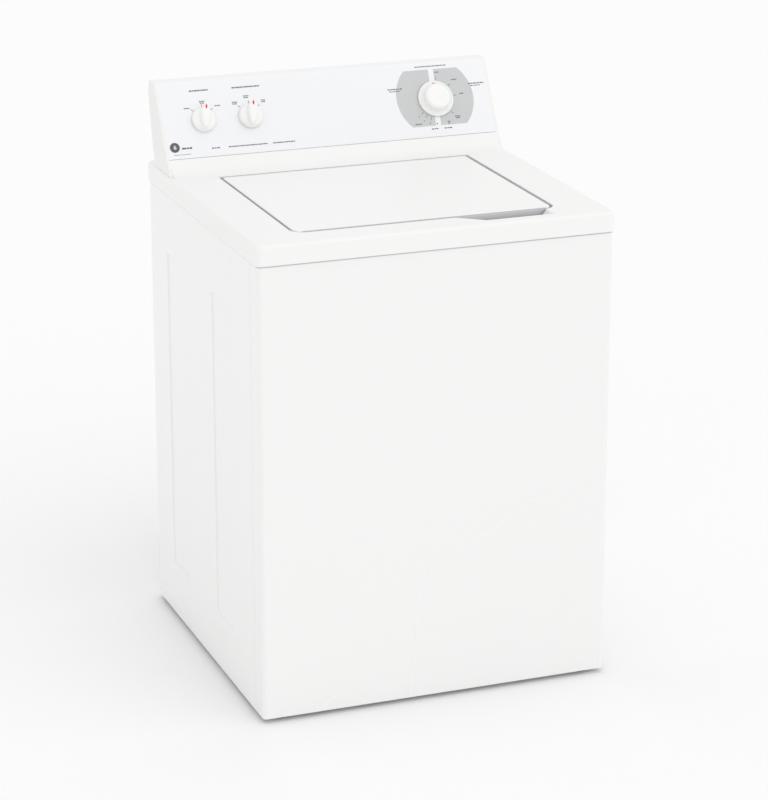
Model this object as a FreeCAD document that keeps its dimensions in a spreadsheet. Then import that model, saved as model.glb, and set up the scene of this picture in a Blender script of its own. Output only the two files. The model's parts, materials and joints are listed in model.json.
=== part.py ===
import FreeCAD, Part
import math
import os
import Sketcher

# Top load washing machine. Millimetres; x to the right, y to the back, z up from the floor.
# Every size lives in the sheet below, and every sketch, feature and placement is bound to it.

V = FreeCAD.Vector
doc = FreeCAD.newDocument("top_load_washer")
sheet = doc.addObject("Spreadsheet::Sheet", "Sizes")

SIZES = {
    # cabinet
    "cabinet_width": 686, "cabinet_depth": 672, "cabinet_top": 877, "foot_gap": 10, "panel": 1,
    "seam_gap": 0.8, "corner_return": 46, "corner_round": 8, "flange": 14, "joggle": 15,
    "channel_depth": 2.5, "channel_bottom": 118, "channel_top_inset": 120, "front_channel_near": -162,
    "front_channel_far": -59, "rear_channel_near": 112, "rear_channel_far": 225, "rear_hole_side": 88,
    "rear_hole_low": 60, "rear_hole_drop": 77, "rear_lap": 14, "rear_screw_shank": 2,
    "rear_screw_head": 4.5, "rear_screw_length": 9, "rear_screw_inset": 7,
    # base, feet and suspension brackets
    "base_plate": 2, "base_width": 60, "base_height": 30, "foot_inset": 38, "foot_stem": 5,
    "foot_stem_top": 52, "foot_pad": 20, "foot_pad_height": 8, "thread_play": 0.05, "nut_flats": 17,
    "nut_height": 10, "bracket_leg": 165, "bracket_drop": 35, "bracket_thickness": 3,
    # top cover, lid recess and finger notch
    "cover_height": 38, "cover_overhang": 3, "cover_skin": 2, "cover_round": 7, "cover_corner": 12,
    "lid_half_width": 250, "lid_front_ledge": 64, "lid_back_ledge": 32, "lid_thickness": 18,
    "lid_skin": 1.2, "lid_gap": 6, "lid_front_corner": 22, "lid_back_corner": 5, "lid_edge_round": 3,
    "recess_depth": 20, "mouth_side_ledge": 36, "mouth_front_ledge": 29, "mouth_back_ledge": 33,
    "mouth_corner": 45, "mouth_collar": 30, "notch_inset": 14, "notch_length": 178, "notch_taper": 34,
    "notch_reach": 38, "notch_depth": 11, "console_hole_side": 43, "console_hole_front": 16,
    "console_hole_back": 4,
    # lid hinge, bumpers and lid switch
    "hinge_inset": 6, "hinge_drop": 8, "hinge_pin": 4, "hinge_bush": 6.5, "hinge_bush_length": 11,
    "hinge_pin_root": 16, "running_play": 0.05, "bumper": 6, "rest_gap": 0.3, "strike_inset": 16,
    "strike_back": 57, "strike_half": 4, "strike_drop": 18, "lever_half": 4, "lever_length": 52,
    "lever_thickness": 4, "lever_gap": 1, "lever_pin": 3, "switch_length": 78, "switch_past": 14,
    "switch_width": 36, "switch_drop": 15,
    # console
    "cove_reach": 23, "face_inset": 126, "face_rise": 28, "face_length": 155, "face_lean": 30,
    "cap_width": 6, "console_wall": 3, "console_top_depth": 20, "cove_round": 42, "rear_top_inset": 16,
    "rear_bulge_inset": 10, "rear_bulge_rise": 140, "rear_waist_inset": 28, "rear_waist_rise": 59,
    "rear_foot_inset": 44, "rear_skin": 2, "console_plate": 2,
    # controls
    "timer_inset": 120, "timer_v": 78, "timer_knob": 36.5, "timer_skirt": 5, "timer_grip": 25,
    "timer_knob_height": 20, "timer_box": 80, "timer_box_depth": 42, "load_inset": 86, "temp_inset": 181,
    "small_v": 74, "small_knob": 24, "small_skirt": 9, "small_knob_height": 22, "grip_half": 8,
    "grip_nose": 27, "grip_tail": 22, "pointer_rest": 10, "shaft": 3, "shaft_depth": 22,
    "shaft_reach": 15, "knob_gap": 1, "shaft_hole": 7, "level_switch": 37, "level_switch_depth": 34,
    "temp_switch": 21, "temp_switch_depth": 28,
    # water inlet, drain and power entry
    "valve_x": -40, "valve_half": 42, "valve_depth": 40, "valve_rise": 15, "valve_height": 38,
    "port_spacing": 50, "port_rise": 20, "port_radius": 13.2, "port_bore": 9, "port_collar": 15.2,
    "port_collar_length": 14, "port_length": 28, "solenoid": 15, "solenoid_inset": 22,
    "solenoid_height": 34, "nozzle": 10, "nozzle_bore": 8, "nozzle_drop": 35, "drain_inset": 35,
    "drain_z": 168, "drain_radius": 14, "drain_bore": 11, "drain_well": 45, "drain_well_depth": 36,
    "drain_spigot": 34, "drain_flange": 24, "drain_inner": 14, "hose_wall": 3, "gland_inset": 58,
    "gland_drop": 19, "gland": 9, "gland_flange": 13, "gland_bore": 4.5, "gland_length": 20,
    # outer tub and what hangs with it
    "tub_room": 51, "tub_wall": 3, "tub_bottom": 250, "tub_headroom": 137, "tub_slope": 24, "tub_hub": 45,
    "tub_floor": 4, "ring_reach": 71, "ring_lip": 4, "ring_skirt": 16, "ring_upstand": 26,
    "bearing_top": 278, "platform_room": 80, "platform_thickness": 5, "platform_top": 246, "arm_half": 22,
    "arm_eye": 26, "rod_inset": 71, "rod": 4, "rod_bottom": 176, "rod_head": 12, "rod_head_height": 8,
    "rod_clearance": 4, "spring_cup": 18, "spring_cup_height": 4, "spring_radius": 13, "spring_wire": 2,
    "spring_turns": 5, "gearcase_radius": 74, "gearcase_low": 152, "gearcase_flange": 92,
    "gearcase_rim": 8, "motor_y": -178, "motor_radius": 62, "motor_low": 132, "motor_shaft": 6,
    "motor_boss": 16, "pump_spacing": 85, "pump_y": 150, "pump_radius": 50, "pump_low": 148,
    "pump_high": 188, "pump_wall": 3, "pump_motor": 34, "impeller": 40, "impeller_disc": 4,
    "impeller_height": 20, "impeller_shaft": 3, "pressure_x": -225, "pressure_inset": 86,
    "pressure_z": 300, "pressure_rise": 47, "nipple": 5, "nipple_gap": 22,
    # drive pulleys and belt
    "pulley_low": 95, "pulley_height": 20, "pulley_flange": 2, "big_pulley": 78, "big_groove": 69,
    "small_pulley": 25, "small_groove": 17, "pulley_hub": 26, "belt_thickness": 8, "belt_play": 0.5,
    "belt_side_play": 2,
    # basket, agitator and their shafts
    "basket_room": 30, "basket_wall": 1.5, "basket_bottom": 286, "basket_drop": 40, "basket_slope": 22,
    "basket_floor": 3, "balance_reach": 31, "balance_lip": 4, "balance_height": 28, "spin_tube": 20,
    "spin_tube_low": 158, "spin_tube_top": 292, "drive_shaft": 12.5, "drive_shaft_low": 92,
    "shaft_end_cover": 4, "agitator_bottom": 298, "agitator_radius": 162, "agitator_waist": 58,
    "agitator_neck": 40, "agitator_waist_z": 400, "agitator_drop": 50, "agitator_wall": 4,
    "vane_count": 4, "vane_half": 3, "vane_radius": 150, "vane_top": 470, "cap_height": 38, "cap_rim": 46,
}


class Size:
    """A length or an angle, with the sheet expression it comes from, so that sums stay bound."""

    def __init__(self, value, text):
        self.value = float(value)
        self.text = text

    def join(self, other, sign, result):
        other = as_size(other)
        return Size(result(self.value, other.value), "(%s %s %s)" % (self.text, sign, other.text))

    def __add__(self, other):
        return self.join(other, "+", lambda a, b: a + b)

    def __sub__(self, other):
        return self.join(other, "-", lambda a, b: a - b)

    def __mul__(self, other):
        return self.join(other, "*", lambda a, b: a * b)

    def __truediv__(self, other):
        return self.join(other, "/", lambda a, b: a / b)

    def __neg__(self):
        return as_size(0) - self

    def __rsub__(self, other):
        return as_size(other) - self

    __radd__ = __add__
    __rmul__ = __mul__


def as_size(value):
    return value if isinstance(value, Size) else Size(value, "(%r)" % value if value < 0 else repr(value))


def sine(angle):
    return Size(math.sin(math.radians(angle.value)), "sin(%s)" % angle.text)


def cosine(angle):
    return Size(math.cos(math.radians(angle.value)), "cos(%s)" % angle.text)


def smaller(first, second):
    return Size(min(first.value, second.value), "min(%s; %s)" % (first.text, second.text))


def root(size):
    return Size(math.sqrt(size.value), "sqrt(%s)" % size.text)


class Sheet:
    """Writes each named size in a cell of its own and hands it out as a Size."""

    def __init__(self, sizes):
        for row, (alias, value) in enumerate(sizes.items(), start=1):
            sheet.set("A%d" % row, alias)
            sheet.set("B%d" % row, str(value))
            sheet.setAlias("B%d" % row, alias)
            setattr(self, alias, Size(value, "Sizes." + alias))


s = Sheet(SIZES)
doc.recompute()


# ---------------------------------------------------------------- sketches and features

PLANES = {"XY": ("XY_Plane", 1), "XZ": ("XZ_Plane", -1), "YZ": ("YZ_Plane", 1)}


class Disc:
    def __init__(self, across, up, radius):
        self.across = as_size(across)
        self.up = as_size(up)
        self.radius = as_size(radius)


def bind(item, name, size):
    size = as_size(size)
    item.setExpression(name, size.text)


def new_body(label):
    body = doc.addObject("PartDesign::Body", label)
    body.Label = label
    body.AllowCompound = True
    return body


def origin_item(body, role):
    return [item for item in body.Origin.OriginFeatures if item.Role == role][0]


def pin_point(sketch, geometry, point, across, up):
    for kind, size in (("DistanceX", as_size(across)), ("DistanceY", as_size(up))):
        index = sketch.addConstraint(Sketcher.Constraint(kind, -1, 1, geometry, point, size.value))
        sketch.setExpression("Constraints[%d]" % index, size.text)


def draw_lines(sketch, points, closed=True):
    """Straight sides through the points, each point held at its sizes."""
    points = [(as_size(across), as_size(up)) for across, up in points]
    first = sketch.GeometryCount
    ends = points[1:] + points[:1] if closed else points[1:]
    for start, end in zip(points, ends):
        sketch.addGeometry(Part.LineSegment(V(start[0].value, start[1].value, 0),
                                            V(end[0].value, end[1].value, 0)), False)
    sides = len(ends)
    for side in range(sides if closed else sides - 1):
        sketch.addConstraint(Sketcher.Constraint("Coincident", first + side, 2, first + (side + 1) % sides, 1))
    for side in range(sides):
        pin_point(sketch, first + side, 1, *points[side])
    if not closed:
        pin_point(sketch, first + sides - 1, 2, *points[-1])


def draw_disc(sketch, disc):
    index = sketch.addGeometry(Part.Circle(V(disc.across.value, disc.up.value, 0), V(0, 0, 1),
                                           disc.radius.value), False)
    pin_point(sketch, index, 3, disc.across, disc.up)
    radius = sketch.addConstraint(Sketcher.Constraint("Radius", index, disc.radius.value))
    sketch.setExpression("Constraints[%d]" % radius, disc.radius.text)


def new_sketch(body, plane, level, shapes, closed=True):
    role, _ = PLANES[plane]
    sketch = body.newObject("Sketcher::SketchObject", body.Label + "_sketch")
    sketch.AttachmentSupport = [(origin_item(body, role), "")]
    sketch.MapMode = "FlatFace"
    bind(sketch, "AttachmentOffset.Base.z", level)
    for shape in shapes:
        if isinstance(shape, Disc):
            draw_disc(sketch, shape)
        else:
            draw_lines(sketch, shape, closed)
    return sketch


def extrude(kind, body, plane, shapes, low, high):
    """A pad or a pocket between two levels along the plane's own axis."""
    low = as_size(low)
    high = as_size(high)
    level = low if PLANES[plane][1] > 0 else -high
    sketch = new_sketch(body, plane, level, shapes)
    feature = body.newObject(kind, body.Label + "_feature")
    feature.Profile = sketch
    bind(feature, "Length", high - low)
    body.Tip = feature
    return feature


def add(body, plane, shapes, low, high):
    return extrude("PartDesign::Pad", body, plane, shapes, low, high)


def cut(body, plane, shapes, low, high, taper=0):
    feature = extrude("PartDesign::Pocket", body, plane, shapes, low, high)
    feature.Reversed = True
    feature.TaperAngle = taper
    return feature


def turn(body, profile, cutting=False):
    """Turns a profile of (radius, height) points round the body's own Z axis."""
    sketch = new_sketch(body, "XZ", 0, [profile])
    kind = "PartDesign::Groove" if cutting else "PartDesign::Revolution"
    feature = body.newObject(kind, body.Label + "_turned")
    feature.Profile = sketch
    feature.ReferenceAxis = (sketch, ["V_Axis"])
    feature.Angle = 360
    body.Tip = feature
    return feature


def pattern(body, feature, count):
    """Repeats one feature round the body's own Z axis."""
    ring = body.newObject("PartDesign::PolarPattern", body.Label + "_pattern")
    ring.Originals = [feature]
    ring.Axis = (origin_item(body, "Z_Axis"), [""])
    ring.Angle = 360
    bind(ring, "Occurrences", count)
    body.Tip = ring
    return ring


def near(value, size):
    return abs(value - as_size(size).value) < 0.02


def straight(shape, axis, **where):
    """Names of the straight edges along an axis that lie at the given coordinates."""
    names = []
    for index, edge in enumerate(shape.Edges, start=1):
        if edge.Curve.TypeId != "Part::GeomLine" or len(edge.Vertexes) != 2:
            continue
        step = edge.Vertexes[1].Point - edge.Vertexes[0].Point
        if abs(getattr(step, axis)) < 0.999 * step.Length:
            continue
        if all(near(getattr(edge.Vertexes[0].Point, key), size) for key, size in where.items()):
            names.append("Edge%d" % index)
    return names


def level_edges(shape, z):
    """Names of every edge that lies flat at one height."""
    names = []
    for index, edge in enumerate(shape.Edges, start=1):
        box = edge.BoundBox
        if near(box.ZMin, z) and near(box.ZMax, z):
            names.append("Edge%d" % index)
    return names


def round_off(body, radius, find):
    """Rounds the edges that find(shape) names on the body as it stands."""
    doc.recompute()
    names = find(body.Shape)
    if not names:
        raise RuntimeError("no edge to round on " + body.Label)
    base = body.Tip
    fillet = body.newObject("PartDesign::Fillet", body.Label + "_fillet")
    fillet.Base = (base, names)
    bind(fillet, "Radius", radius)
    body.Tip = fillet
    return fillet


def corners(shape, half_x, low_y, high_y):
    """The four upright edges of a rectangle."""
    found = []
    for x in (-half_x, half_x):
        for y in (low_y, high_y):
            found += straight(shape, "z", x=x, y=y)
    return found


def place(piece, x=0, y=0, z=0):
    for axis, size in (("x", x), ("y", y), ("z", z)):
        bind(piece, "Placement.Base." + axis, size)


def on_face(piece, u=0, v=0):
    """Puts a piece on the console face: its X runs along the face, Y up the slope and Z out of it."""
    piece.Placement = FreeCAD.Placement(V(0, 0, 0), FreeCAD.Rotation(V(1, 0, 0), 60))
    bind(piece, "Placement.Rotation.Angle", 90 - s.face_lean)
    place(piece, u, face_y + v * sine(s.face_lean), face_z + v * cosine(s.face_lean))


def box(low_x, high_x, low_y, high_y):
    return [(low_x, low_y), (high_x, low_y), (high_x, high_y), (low_x, high_y)]


def group(label, members):
    """Several separate solids in one node."""
    compound = doc.addObject("Part::Compound", label)
    compound.Label = label
    compound.Links = members
    return compound


# ---------------------------------------------------------------- shared places

half_width = s.cabinet_width / 2
half_depth = s.cabinet_depth / 2
inner_half = half_width - s.panel
seam = s.corner_return - half_depth
channel_top = s.cabinet_top - s.channel_top_inset
channel_spans = [(s.front_channel_near, s.front_channel_far), (s.rear_channel_near, s.rear_channel_far)]
bracket_level = s.cabinet_top - s.bracket_drop
rear_hole_half = half_width - s.rear_hole_side
rear_hole_high = s.cabinet_top - s.rear_hole_drop
foot_x = half_width - s.foot_inset
foot_y = half_depth - s.foot_inset
foot_places = {"front_left": (-foot_x, -foot_y), "front_right": (foot_x, -foot_y),
               "rear_left": (-foot_x, foot_y), "rear_right": (foot_x, foot_y)}

deck_height = s.cabinet_top + s.cover_height
face_y = half_depth - s.face_inset
face_z = deck_height + s.face_rise
cove_y = face_y - s.cove_reach
inner_console = half_width - s.cap_width
rear_top_y = half_depth - s.rear_top_inset
rear_bulge_y = half_depth - s.rear_bulge_inset
rear_bulge_z = deck_height + s.rear_bulge_rise
rear_waist_y = half_depth - s.rear_waist_inset
rear_waist_z = deck_height + s.rear_waist_rise
rear_foot_y = half_depth - s.rear_foot_inset
console_hole_half = half_width - s.console_hole_side
hole_front = face_y + s.console_hole_front
hole_back = rear_foot_y - s.console_hole_back
timer_u = half_width - s.timer_inset
load_u = s.load_inset - half_width
temp_u = s.temp_inset - half_width

recess_floor = deck_height - s.recess_depth
lid_low = deck_height - s.lid_thickness
lid_front = s.lid_front_ledge - half_depth
lid_back = cove_y - s.lid_back_ledge
hinge_y = lid_back - s.hinge_inset
hinge_z = deck_height - s.hinge_drop
opening_half = s.lid_half_width + s.lid_gap
opening_front = lid_front - s.lid_gap
opening_back = lid_back + s.lid_gap
mouth_half_width = s.lid_half_width - s.mouth_side_ledge
mouth_front = lid_front + s.mouth_front_ledge
mouth_back = lid_back - s.mouth_back_ledge
notch_end = s.lid_half_width - s.notch_inset
notch_start = notch_end - s.notch_length
strike_x = s.lid_half_width - s.strike_inset
strike_y = lid_back - s.strike_back
switch_back = strike_y + s.switch_past
switch_front = switch_back - s.switch_length
switch_low = s.cabinet_top - s.switch_drop

valve_back = rear_foot_y + s.rear_skin
valve_front = valve_back - s.valve_depth
valve_low = deck_height + s.valve_rise
valve_high = valve_low + s.valve_height
port_z = valve_low + s.port_rise
port_collar_end = valve_back + s.port_collar_length
port_end = port_collar_end + s.port_length
ports = [s.valve_x - s.port_spacing / 2, s.valve_x + s.port_spacing / 2]
solenoid_y = valve_back - s.solenoid_inset
nozzle_z = deck_height - s.nozzle_drop
drain_x = rear_hole_half - s.drain_inset
drain_well_floor = half_depth - s.drain_well_depth
pump_x = drain_x - s.pump_spacing
gland_x = s.gland_inset - half_width
gland_z = s.cabinet_top - s.gland_drop

tub_radius = smaller(half_width, half_depth) - s.tub_room
tub_top = s.cabinet_top - s.tub_headroom
ring_inner = tub_radius - s.ring_reach
rod_x = half_width - s.rod_inset
rod_y = half_depth - s.rod_inset
rod_places = [(-rod_x, -rod_y), (rod_x, -rod_y), (-rod_x, rod_y), (rod_x, rod_y)]
spring_low = s.rod_bottom + s.spring_cup_height
platform_radius = tub_radius - s.platform_room
platform_low = s.platform_top - s.platform_thickness
pulley_top = s.pulley_low + s.pulley_height
pressure_y = half_depth - s.pressure_inset
pressure_top = deck_height + s.pressure_rise
nipple_end = pressure_y - s.nipple_gap
basket_radius = tub_radius - s.basket_room
basket_top = tub_top - s.basket_drop
balance_inner = basket_radius - s.balance_reach
balance_outer = basket_radius + s.balance_lip
agitator_top = basket_top - s.agitator_drop
drive_shaft_top = agitator_top - s.shaft_end_cover


def face_point(u, v):
    """World place of a point on the console face."""
    return u, face_y + v * sine(s.face_lean), face_z + v * cosine(s.face_lean)


# ---------------------------------------------------------------- cabinet

def channels(body, side):
    """Two shallow pressed channels in a side wall: a bump inside and a tapered cut outside."""
    outer = half_width * side
    wall = inner_half * side
    bump = (inner_half - s.channel_depth) * side
    spread = s.channel_depth + s.panel
    for near_y, far_y in channel_spans:
        low, high = (wall, bump) if side < 0 else (bump, wall)
        add(body, "YZ", [box(near_y - spread, far_y + spread, s.channel_bottom - spread,
                             channel_top + spread)], low, high)
    for near_y, far_y in channel_spans:
        low = outer if side < 0 else outer - s.channel_depth
        high = outer + s.channel_depth if side < 0 else outer
        edge = s.channel_depth
        if side < 0:
            shape = box(near_y, far_y, s.channel_bottom, channel_top)
            cut(body, "YZ", [shape], low, high, taper=-45)
        else:
            shape = box(near_y + edge, far_y - edge, s.channel_bottom + edge, channel_top - edge)
            cut(body, "YZ", [shape], low, high, taper=45)


def cabinet_wrapper():
    body = new_body("cabinet_wrapper")
    front = seam + s.seam_gap / 2
    back_inner = half_depth - s.panel
    add(body, "XY", [box(-half_width, half_width, front, half_depth)], s.foot_gap, s.cabinet_top)
    cut(body, "XY", [box(-inner_half, inner_half, front - s.joggle, back_inner)], s.foot_gap, s.cabinet_top)
    round_off(body, s.corner_round - s.panel, lambda shape: straight(shape, "z", y=back_inner))
    round_off(body, s.corner_round, lambda shape: straight(shape, "z", y=half_depth))
    for side in (-1, 1):
        lip_low = min((inner_half * side, (inner_half - s.panel) * side), key=lambda size: size.value)
        add(body, "XY", [box(lip_low, lip_low + s.panel, front - s.joggle, front + s.joggle)],
            s.foot_gap + s.base_height, s.cabinet_top - s.panel)
        channels(body, side)
    add(body, "XY", [box(-inner_half, inner_half, back_inner - s.flange, back_inner)],
        s.cabinet_top - s.panel, s.cabinet_top)
    cut(body, "XZ", [box(-rear_hole_half, rear_hole_half, s.rear_hole_low, rear_hole_high),
                     Disc(gland_x, gland_z, s.gland)], back_inner - s.flange, half_depth)
    cut(body, "XZ", [Disc(x, z, s.rear_screw_shank) for x, z in rear_screw_places()], back_inner, half_depth)
    return body


def front_panel():
    body = new_body("front_panel")
    back = seam - s.seam_gap / 2
    inner_front = s.panel - half_depth
    add(body, "XY", [box(-half_width, half_width, -half_depth, back)], s.foot_gap, s.cabinet_top)
    cut(body, "XY", [box(-inner_half, inner_half, inner_front, back)], s.foot_gap, s.cabinet_top)
    round_off(body, s.corner_round - s.panel, lambda shape: straight(shape, "z", y=inner_front))
    round_off(body, s.corner_round, lambda shape: straight(shape, "z", y=-half_depth))
    flange_half = inner_half - s.joggle
    for level in (s.foot_gap, s.cabinet_top - s.panel):
        add(body, "XY", [box(-flange_half, flange_half, inner_front, inner_front + s.flange)],
            level, level + s.panel)
    return body


def base_frame():
    body = new_body("base_frame")
    half = inner_half
    back = half_depth - s.panel
    low = s.foot_gap + s.panel
    front = s.panel - half_depth
    top = s.foot_gap + s.base_height
    inside = half - s.base_plate
    add(body, "XY", [box(-half, half, front, back)], low, top)
    cut(body, "XY", [box(-inside, inside, front + s.base_plate, back - s.base_plate)], low + s.base_plate, top)
    round_off(body, s.corner_round - s.panel - s.base_plate,
              lambda shape: corners(shape, inside, front + s.base_plate, back - s.base_plate))
    round_off(body, s.corner_round - s.panel, lambda shape: corners(shape, half, front, back))
    inner = half - s.base_width
    inner_back = back - s.base_width
    cut(body, "XY", [box(-inner, inner, front + s.base_width, inner_back)], low, low + s.base_plate)
    cut(body, "XY", [Disc(x, y, s.foot_stem + s.thread_play) for x, y in foot_places.values()],
        low, low + s.base_plate)
    return body


def bracket_wall(end):
    """Half width where a gusset meets the wall: the front ones lie inside the wrapper's lip."""
    return inner_half - s.panel if end < 0 else inner_half


def corner_brackets():
    """Four gussets high in the cabinet, each holding the head of one suspension rod."""
    body = new_body("corner_brackets")
    back = half_depth - s.panel
    for side in (-1, 1):
        for end in (-1, 1):
            x = bracket_wall(end) * side
            y = back * end
            triangle = [(x, y), (x - s.bracket_leg * side, y), (x, y - s.bracket_leg * end)]
            add(body, "XY", [triangle if side * end > 0 else triangle[::-1]],
                bracket_level, bracket_level + s.bracket_thickness)
    cut(body, "XY", [Disc(x, y, s.rod) for x, y in rod_places],
        bracket_level, bracket_level + s.bracket_thickness)
    # the wall corners are rounded, so each gusset's own corner is rounded to match
    for side in (-1, 1):
        for end in (-1, 1):
            round_off(body, s.corner_round - s.panel,
                      lambda shape: straight(shape, "z", x=bracket_wall(end) * side, y=back * end))
    return body


def rear_screw_places():
    across = rear_hole_half + s.rear_screw_inset
    low = s.rear_hole_low - s.rear_screw_inset
    high = rear_hole_high + s.rear_screw_inset
    middle = (low + high) / 2
    return [(-across, low), (0, low), (across, low), (-across, middle), (across, middle),
            (-across, high), (0, high), (across, high)]


def rear_access_panel():
    body = new_body("rear_access_panel")
    back = half_depth + s.panel
    half = rear_hole_half + s.rear_lap
    add(body, "XZ", [box(-half, half, s.rear_hole_low - s.rear_lap, rear_hole_high + s.rear_lap)],
        half_depth, back)
    well = box(drain_x - s.drain_well, drain_x + s.drain_well / 2,
               s.drain_z - s.drain_well, s.drain_z + s.drain_well)
    inside = box(drain_x - s.drain_well + s.panel, drain_x + s.drain_well / 2 - s.panel,
                 s.drain_z - s.drain_well + s.panel, s.drain_z + s.drain_well - s.panel)
    add(body, "XZ", [well], drain_well_floor - s.panel, half_depth)
    cut(body, "XZ", [inside], drain_well_floor, back)
    cut(body, "XZ", [Disc(drain_x, s.drain_z, s.drain_radius)],
        drain_well_floor - s.panel, drain_well_floor)
    cut(body, "XZ", [Disc(x, z, s.rear_screw_shank) for x, z in rear_screw_places()], half_depth, back)
    return body


def rear_panel_screws():
    body = new_body("rear_panel_screws")
    back = half_depth + s.panel
    add(body, "XZ", [Disc(x, z, s.rear_screw_shank) for x, z in rear_screw_places()],
        back - s.rear_screw_length, back)
    add(body, "XZ", [Disc(x, z, s.rear_screw_head) for x, z in rear_screw_places()],
        back, half_depth + s.cover_overhang)
    return body


def power_inlet_gland():
    body = new_body("power_inlet_gland")
    outside = half_depth + s.cover_overhang
    add(body, "XZ", [Disc(gland_x, gland_z, s.gland_flange)], half_depth, outside)
    add(body, "XZ", [Disc(gland_x, gland_z, s.gland)], half_depth - s.gland_length, half_depth)
    cut(body, "XZ", [Disc(gland_x, gland_z, s.gland_bore)], half_depth - s.gland_length, outside)
    return body


def drain_port():
    body = new_body("drain_port")
    floor = drain_well_floor
    inside = floor - s.panel - s.drain_inner
    add(body, "XZ", [Disc(drain_x, s.drain_z, s.drain_radius)], inside, floor + s.drain_spigot)
    add(body, "XZ", [Disc(drain_x, s.drain_z, s.drain_flange / 2 + s.drain_radius / 2)], floor, floor + s.panel * 2)
    cut(body, "XZ", [Disc(drain_x, s.drain_z, s.drain_bore)], inside, floor + s.drain_spigot)
    return body


# ---------------------------------------------------------------- levelling feet

def levelling_foot(corner):
    x, y = foot_places[corner]
    body = new_body("levelling_foot_" + corner)
    neck = s.foot_stem + 2
    turn(body, [(0, 0), (s.foot_pad, 0), (s.foot_pad, s.foot_pad_height / 2), (neck, s.foot_pad_height),
                (s.foot_stem, s.foot_pad_height), (s.foot_stem, s.foot_stem_top), (0, s.foot_stem_top)])
    place(body, x, y)
    return body


def foot_nuts():
    """Hexagon nuts welded on the base plate; the feet screw through them."""
    body = new_body("foot_nuts")
    low = s.foot_gap + s.panel + s.base_plate
    corner = s.nut_flats / root(as_size(3))
    for x, y in foot_places.values():
        hexagon = [(x + corner * round(math.cos(math.radians(60 * k)), 6),
                    y + corner * round(math.sin(math.radians(60 * k)), 6)) for k in range(6)]
        add(body, "XY", [hexagon], low, low + s.nut_height)
    cut(body, "XY", [Disc(x, y, s.foot_stem + s.thread_play) for x, y in foot_places.values()],
        low, low + s.nut_height)
    return body


# ---------------------------------------------------------------- top cover

def cover_shell(body):
    half = half_width + s.cover_overhang
    front = -half_depth - s.cover_overhang
    back = half_depth + s.cover_overhang
    skin = s.cover_skin
    add(body, "XY", [box(-half, half, front, back)], s.cabinet_top, deck_height)
    cut(body, "XY", [box(skin - half, half - skin, front + skin, back - skin)],
        s.cabinet_top, deck_height - skin * 2)
    round_off(body, s.cover_corner - skin, lambda shape: corners(shape, half - skin, front + skin, back - skin))
    round_off(body, s.cover_corner, lambda shape: corners(shape, half, front, back))
    round_off(body, s.cover_round, lambda shape: level_edges(shape, deck_height))


def lid_recess(body):
    """The stepped recess that the closed lid lies in, its ledge and the collar of the wash mouth."""
    skin = s.cover_skin
    under = recess_floor - skin
    add(body, "XY", [box(-opening_half - skin, opening_half + skin, opening_front - skin, opening_back + skin)],
        under, deck_height - skin)
    cut(body, "XY", [box(-opening_half, opening_half, opening_front, opening_back)], recess_floor, deck_height)
    round_off(body, s.lid_front_corner + s.lid_gap,
              lambda shape: straight(shape, "z", x=opening_half, y=opening_front)
              + straight(shape, "z", x=-opening_half, y=opening_front))
    mouth = box(-mouth_half_width, mouth_half_width, mouth_front, mouth_back)
    collar = box(-mouth_half_width - skin, mouth_half_width + skin, mouth_front - skin, mouth_back + skin)
    add(body, "XY", [collar], recess_floor - s.mouth_collar, under)
    cut(body, "XY", [mouth], recess_floor - s.mouth_collar, deck_height)
    round_off(body, s.mouth_corner,
              lambda shape: corners(shape, mouth_half_width, mouth_front, mouth_back))
    round_off(body, s.mouth_corner + skin,
              lambda shape: corners(shape, mouth_half_width + skin, mouth_front - skin, mouth_back + skin))


def finger_notch(body):
    """A sloped dish in the deck, just in front of the lid, for the fingers that lift it."""
    skin = s.cover_skin
    floor = deck_height - s.notch_depth
    reach = opening_front - s.notch_reach
    outer = [(notch_start - skin, opening_front), (notch_start + s.notch_taper, reach - skin),
             (notch_end, reach - skin), (notch_end + skin, opening_front)]
    add(body, "XY", [outer], floor - skin, deck_height - skin)
    slope = s.notch_depth
    dish = [(notch_start + slope, opening_front), (notch_start + s.notch_taper + slope, reach + slope),
            (notch_end - slope, reach + slope), (notch_end - slope, opening_front)]
    cut(body, "XY", [dish], floor, deck_height, taper=40)


def top_cover():
    body = new_body("top_cover")
    skin = s.cover_skin
    cover_shell(body)
    lid_recess(body)
    finger_notch(body)
    # the cove that rises to the foot of the console face
    back = face_y + s.console_wall
    cove = [(cove_y, deck_height - skin), (cove_y, deck_height), (face_y, face_z), (back, face_z),
            (back, deck_height - skin)]
    add(body, "YZ", [cove], -inner_console, inner_console)
    round_off(body, s.cove_round, lambda shape: straight(shape, "x", y=cove_y, z=deck_height))
    cut(body, "XY", [box(-console_hole_half, console_hole_half, hole_front, hole_back)],
        deck_height - skin * 2, deck_height)
    # seats for the hinge bushes, the slot for the strike and the way in for the water
    seat = Disc(hinge_y, hinge_z, s.hinge_bush)
    cut(body, "YZ", [seat], -opening_half - s.hinge_bush_length, -opening_half)
    cut(body, "YZ", [seat], opening_half, opening_half + s.hinge_bush_length)
    slot = s.strike_half + s.lever_half / 2
    cut(body, "XY", [box(strike_x - slot, strike_x + slot, strike_y - slot * 3, strike_y + slot)],
        recess_floor - skin, recess_floor)
    cut(body, "XZ", [Disc(s.valve_x, nozzle_z, s.nozzle)], mouth_back, mouth_back + skin)
    return body


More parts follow.
